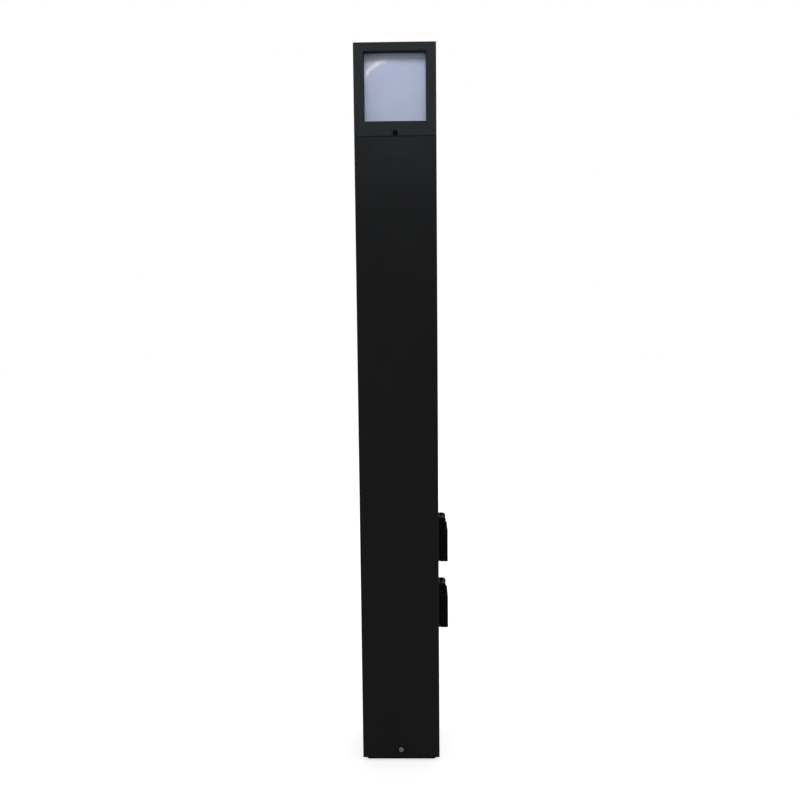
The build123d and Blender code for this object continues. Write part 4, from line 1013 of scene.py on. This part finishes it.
@dataclass
class LampHead:
    """The head housing with its window, opal panel and carrier."""

    edge: float = 0.35 * MM
    carrier_edge: float = 0.2 * MM
    panel_edge: float = 0.3 * MM
    panel_sharp: float = math.radians(25)

    def build(self, workshop: Workshop, screws: bpy.types.NodeTree) -> None:
        """Round the housing, polish the panel, seat the screws and dress the inside.

        Args:
            workshop: What finishes the pieces.
            screws: The screws' node tree.
        """
        housing = Softened("head_housing", self.edge, segments=3).build()
        # The housing takes the coat's lighter copy, which is painted light.
        workshop.adopt(housing, "head_coat_painted_light", Body.POST, "anthracite_coat", "head_housing")
        carrier = Softened("head_carrier", self.carrier_edge).build()
        workshop.adopt(carrier, "casting", Body.POST, "black_casting", "head_carrier")
        panel = Softened("diffuser", self.panel_edge, segments=3).build()
        panel = smoothed(domed(panel), self.panel_sharp)
        workshop.adopt(panel, "opal", Body.POST, "opal_plastic", "diffuser")
        black = ScrewSet("head_screws", M4_BUTTON, (Facing.FRONT, Facing.BACK), "black_screw",
                         "black_steel")
        black.build(screws, workshop)
        workshop.dress("rubber", "diffuser_gasket")
        workshop.dress("grey_rubber", "lead_bush")
        workshop.dress("stainless", "carrier_screws", "diffuser_screws", "led_bracket_screws",
                       "led_board_screws", "driver_screws")
        workshop.dress("zinc", "diffuser_frame", "led_bracket")
        workshop.dress("board", "led_board")
        workshop.dress("phosphor", "led_chips")
        workshop.dress("white_plastic", "led_driver")
        workshop.dress("white_insulation", "led_wires")


@dataclass
class Terminals:
    """What stands on the foot inside the column, and the wires."""

    def build(self, workshop: Workshop) -> None:
        """Dress the bracket, block, earthing point, clips and wires.

        Args:
            workshop: What finishes the nodes.
        """
        workshop.dress("zinc", "terminal_bracket", "earth_stud")
        workshop.dress("stainless", "terminal_bracket_screws", "terminal_block_screws",
                       "earth_nuts")
        workshop.dress("nickel", "clamp_screws", "earth_lug")
        workshop.dress("white_plastic", "terminal_block", "cable_clips")
        workshop.dress("brass", "terminal_barrels")
        workshop.dress("live_brown", "live_wires")
        workshop.dress("neutral_blue", "neutral_wires")
        workshop.dress("earth_stripe", "earth_wires")


@dataclass
class SocketOutlet:
    """One socket: gasket, moulding, contacts, and the lid on its hinge."""

    place: str
    lid_body: Body
    body_edge: float = 0.2 * MM
    lid_edge: float = 0.3 * MM
    hinge_x: float = 61.9 * MM
    coil_reach: float = 2.8 * MM
    coil_half_length: float = 3.0 * MM

    def part(self, name: str) -> str:
        """A node's name with this socket's place before it."""
        return f"{self.place}_{name}"

    def build(self, workshop: Workshop, screws: bpy.types.NodeTree) -> None:
        """Round the moulding and the lid, and dress the rest.

        Args:
            workshop: What finishes the pieces.
            screws: The screws' node tree.
        """
        moulding = self.part("socket_body")
        body = Softened(moulding, self.body_edge).build()
        workshop.adopt(body, "well_plastic", Body.POST, "well_plastic", moulding)
        cover = self.part("lid")
        lid = Softened(cover, self.lid_edge, segments=3).build()
        workshop.adopt(lid, "lid_plastic", self.lid_body, "black_plastic", cover)
        sunk = ScrewSet(self.part("flange_screws"), M3_SUNK, (Facing.RIGHT,), "black_screw",
                        "black_steel")
        sunk.build(screws, workshop)
        workshop.dress("rubber", self.part("gasket"), self.part("lid_seal"))
        workshop.dress("grey_plastic", self.part("contact_carrier"))
        workshop.dress("brass", self.part("pin_contacts"))
        workshop.dress("nickel", self.part("earth_clip"))
        workshop.dress("stainless", self.part("terminal_screws"), self.part("carrier_fix_screws"))
        workshop.dress("black_screw", self.part("hinge_pin"))
        self.wind(workshop)

    def wind(self, workshop: Workshop) -> None:
        """Copy the spring as a piece of its own and bake its placement into its mesh.

        Args:
            workshop: What finishes the piece.
        """
        node = self.part("lid_spring")
        spring = new_piece(self.part("lid_spring_wound"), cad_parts[node].data.copy())
        workshop.adopt(spring, "spring_steel", None, "spring_steel", node)
        hinge_z = islands(node)[0][1].z - self.coil_reach
        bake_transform(spring)


# Floor, lights and camera

def emptied(owner: bpy.types.Material | bpy.types.World,
            output: str) -> tuple[bpy.types.NodeTree, Socket]:
    """Clear a material's or world's node tree, down to a new output.

    Args:
        owner: The material or world.
        output: The type of its output node.

    Returns:
        The node tree and the output's surface socket.
    """
    owner.use_nodes = True
    tree = owner.node_tree
    tree.nodes.clear()
    return tree, tree.nodes.new(output).inputs["Surface"]


@dataclass(frozen=True)
class AreaLamp:
    """A soft rectangular lamp that gloss doesn't show."""

    name: str
    place: Triple
    aim: Triple
    size: tuple[float, float]
    power: float
    colour: Colour = (1.0, 1.0, 1.0)
    spread: float = 180.0

    def hang(self) -> None:
        """Hang the lamp at its place, turned to the point that it lights."""
        light = bpy.data.lights.new(self.name, "AREA")
        light.shape = "RECTANGLE"
        light.size, light.size_y = self.size
        light.energy = self.power
        light.color = self.colour
        light.spread = math.radians(self.spread)
        lamp = bpy.data.objects.new(self.name, light)
        bpy.context.scene.collection.objects.link(lamp)
        lamp.location = self.place
        ahead = Vector(self.aim) - Vector(self.place)
        lamp.rotation_euler = ahead.to_track_quat("-Z", "Y").to_euler()
        lamp.visible_camera = False
        lamp.visible_glossy = False


COOL_WHITE = (0.92, 0.975, 1.0)
LAMPS = (
    AreaLamp("top_lamp", (-0.02, -0.262, 1.163), (0.0, -0.055, 0.945), (0.40, 0.09), 0.845,
             COOL_WHITE),
    AreaLamp("window_lamp", (0.0, -0.55, 0.95), (0.0, -0.055, 0.890), (0.16, 0.05), 0.018,
             COOL_WHITE, 28.0),
    AreaLamp("left_fill", (-1.6, -0.2, 1.1), (0.0, 0.0, 0.5), (1.2, 1.6), 5.0),
    AreaLamp("right_fill", (1.8, 0.3, 1.3), (0.0, 0.0, 0.5), (0.8, 1.6), 4.5),
    AreaLamp("back_fill", (0.4, 1.9, 1.5), (0.0, 0.0, 0.5), (1.6, 1.2), 12.0),
)


@dataclass(frozen=True)
class ArcLamp:
    """A thin curved tube that only gloss shows, mirrored in the panel's upper left corner.

    Each of its spots is a place on the panel where it is mirrored: how far across and up from
    the panel's middle, in mm, and how thick the tube is there against its plain thickness.
    """

    name: str = "arc_lamp"
    distance: float = 2.0
    thickness: float = 0.007
    colour: Colour = (1.0, 0.76, 0.62)
    strength: float = 15.0
    spots: tuple[Triple, ...] = (
        (-39.6, 14.6, 1.8), (-38.4, 19.2, 2.2), (-35.6, 22.4, 1.5), (-31.2, 25.6, 1.1),
        (-25.1, 30.5, 1.1), (-19.0, 33.0, 1.15), (-13.0, 34.2, 0.85), (-5.0, 34.7, 0.4))

    def mirrored(self, across: float, up: float, eye: Vector) -> Vector:
        """The place that the eye sees mirrored at a spot on the domed panel.

        Args:
            across: The spot's X from the panel's middle, in mm.
            up: The spot's height above the panel's middle, in mm.
            eye: Where the camera stands.

        Returns:
            The place, at the tube's distance from the spot.
        """
        side, rise = across * MM, up * MM
        outward = Vector((side, -math.sqrt(PANEL_DOME**2 - side**2 - rise**2), rise))
        spot = PANEL_APEX + Vector((0.0, PANEL_DOME, 0.0)) + outward
        away = (spot - eye).normalized().reflect(outward.normalized())
        return spot + away * self.distance

    def glow(self) -> bpy.types.Material:
        """An even glow for the tube.

        Returns:
            The material.
        """
        material = bpy.data.materials.new(self.name)
        tree, surface = emptied(material, "ShaderNodeOutputMaterial")
        glow = tree.nodes.new("ShaderNodeEmission")
        glow.inputs["Color"].default_value = (*self.colour, 1.0)
        glow.inputs["Strength"].default_value = self.strength
        tree.links.new(glow.outputs[0], surface)
        return material

    def hang(self, eye: Vector) -> None:
        """Bend the tube through the mirrored places and make it glow.

        Args:
            eye: Where the camera stands.
        """
        curve = bpy.data.curves.new(self.name, "CURVE")
        curve.dimensions = "3D"
        curve.bevel_depth = self.thickness
        spline = curve.splines.new("BEZIER")
        spline.bezier_points.add(len(self.spots) - 1)
        for point, (across, up, girth) in zip(spline.bezier_points, self.spots):
            point.co = self.mirrored(across, up, eye)
            point.handle_left_type = point.handle_right_type = "AUTO"
            point.radius = girth
        curve.materials.append(self.glow())
        tube = bpy.data.objects.new(self.name, curve)
        bpy.context.scene.collection.objects.link(tube)
        tube.visible_camera = False
        tube.visible_diffuse = False
        tube.visible_shadow = False


@dataclass
class Studio:
    """A pale floor, a white surround and the lamps."""

    floor_reach: float = 6.0
    floor_colour: float = 0.80
    near_lift: float = 0.70
    far_lift: float = 0.80
    near: float = 0.4
    far: float = 2.5
    ambient: Colour = (0.285, 0.280, 0.275)

    def build(self, eye: Vector) -> None:
        """Lay the floor, set the surround and hang the lamps.

        Args:
            eye: Where the camera stands.
        """
        self.floor()
        self.surround()
        for lamp in LAMPS:
            lamp.hang()
        ArcLamp().hang(eye)

    def seen_directly(self, tree: bpy.types.NodeTree) -> Socket:
        """1 for rays from the camera, off gloss or through glass.

        Args:
            tree: The node tree.

        Returns:
            The largest of the three.
        """
        path = tree.nodes.new("ShaderNodeLightPath")
        total = path.outputs["Is Camera Ray"]
        for name in ("Is Glossy Ray", "Is Transmission Ray"):
            larger = tree.nodes.new("ShaderNodeMath")
            larger.operation = "MAXIMUM"
            tree.links.new(total, larger.inputs[0])
            tree.links.new(path.outputs[name], larger.inputs[1])
            total = larger.outputs[0]
        return total

    def lift(self, tree: bpy.types.NodeTree) -> Socket:
        """How much the floor glows to the eye, less near the post, where it keeps the shadow.

        Args:
            tree: The floor's node tree.

        Returns:
            The glow's strength.
        """
        place = tree.nodes.new("ShaderNodeTexCoord")
        away = tree.nodes.new("ShaderNodeVectorMath")
        away.operation = "LENGTH"
        lift = tree.nodes.new("ShaderNodeMapRange")
        for socket, value in (("From Min", self.near), ("From Max", self.far),
                              ("To Min", self.near_lift), ("To Max", self.far_lift)):
            lift.inputs[socket].default_value = value
        scale = tree.nodes.new("ShaderNodeMath")
        scale.operation = "MULTIPLY"
        tree.links.new(place.outputs["Object"], away.inputs[0])
        tree.links.new(away.outputs["Value"], lift.inputs["Value"])
        tree.links.new(self.seen_directly(tree), scale.inputs[0])
        tree.links.new(lift.outputs["Result"], scale.inputs[1])
        return scale.outputs[0]

    def floor(self) -> None:
        """A plain pale floor, lifted to white where the eye sees it."""
        mesh = bpy.data.meshes.new("floor")
        corners = [(x * self.floor_reach, y * self.floor_reach, 0.0)
                   for x, y in ((-1, -1), (1, -1), (1, 1), (-1, 1))]
        mesh.from_pydata(corners, [], [(0, 1, 2, 3)])
        material = bpy.data.materials.new("floor")
        tree, surface = emptied(material, "ShaderNodeOutputMaterial")
        diffuse = tree.nodes.new("ShaderNodeBsdfDiffuse")
        diffuse.inputs["Color"].default_value = (*(self.floor_colour,) * 3, 1.0)
        glow = tree.nodes.new("ShaderNodeEmission")
        tree.links.new(self.lift(tree), glow.inputs["Strength"])
        both = tree.nodes.new("ShaderNodeAddShader")
        tree.links.new(diffuse.outputs[0], both.inputs[0])
        tree.links.new(glow.outputs[0], both.inputs[1])
        tree.links.new(both.outputs[0], surface)
        mesh.materials.append(material)
        new_piece("floor", mesh)

    def surround(self) -> None:
        """White to the camera, and a low even light on the post."""
        world = bpy.data.worlds.new("surround")
        bpy.context.scene.world = world
        tree, surface = emptied(world, "ShaderNodeOutputWorld")
        mix = tree.nodes.new("ShaderNodeMixShader")
        tree.links.new(self.seen_directly(tree), mix.inputs[0])
        for slot, colour in ((1, self.ambient), (2, (1.0, 1.0, 1.0))):
            sky = tree.nodes.new("ShaderNodeBackground")
            sky.inputs["Color"].default_value = (*colour, 1.0)
            tree.links.new(sky.outputs[0], mix.inputs[slot])
        tree.links.new(mix.outputs[0], surface)


@dataclass
class Photographer:
    """The camera, placed from the post's edges in the photograph."""

    place: Triple = (29.32 * MM, -1422.05 * MM, 693.77 * MM)
    yaw: float = -0.019327
    pitch: float = 0.123681
    roll: float = -0.009711
    focal: float = 45.02
    sensor: float = 36.0
    clip: float = 0.01

    def build(self) -> None:
        """Set the camera up and make it the scene's."""
        data = bpy.data.cameras.new("camera")
        data.lens = self.focal
        data.sensor_width = self.sensor
        data.clip_start = self.clip
        camera = bpy.data.objects.new("camera", data)
        bpy.context.scene.collection.objects.link(camera)
        level = math.cos(self.pitch)
        ahead = Vector((math.sin(self.yaw) * level, math.cos(self.yaw) * level,
                        -math.sin(self.pitch)))
        right = Vector((math.cos(self.yaw), -math.sin(self.yaw), 0.0))
        up = right.cross(ahead)
        tilted_right = right * math.cos(self.roll) + up * math.sin(self.roll)
        tilted_up = up * math.cos(self.roll) - right * math.sin(self.roll)
        turn = Matrix((tilted_right, tilted_up, -ahead)).transposed()
        camera.matrix_world = Matrix.Translation(self.place) @ turn.to_4x4()
        bpy.context.scene.camera = camera


def main() -> None:
    """Dress the post piece by piece, then light and frame it."""
    logging.basicConfig(level=logging.INFO, format="%(name)s %(message)s")
    bpy.context.scene.view_settings.view_transform = "Standard"
    photographer = Photographer()
    photographer.build()
    Studio().build(Vector(photographer.place))
    workshop = Workshop()
    screws = screw_tree()
    Foot().build(workshop)
    Column().build(workshop, screws)
    Terminals().build(workshop)
    LampHead().build(workshop, screws)
    for place, body in (("upper", Body.UPPER_LID), ("lower", Body.LOWER_LID)):
        SocketOutlet(place, body).build(workshop, screws)


if __name__ == "__main__":
    main()
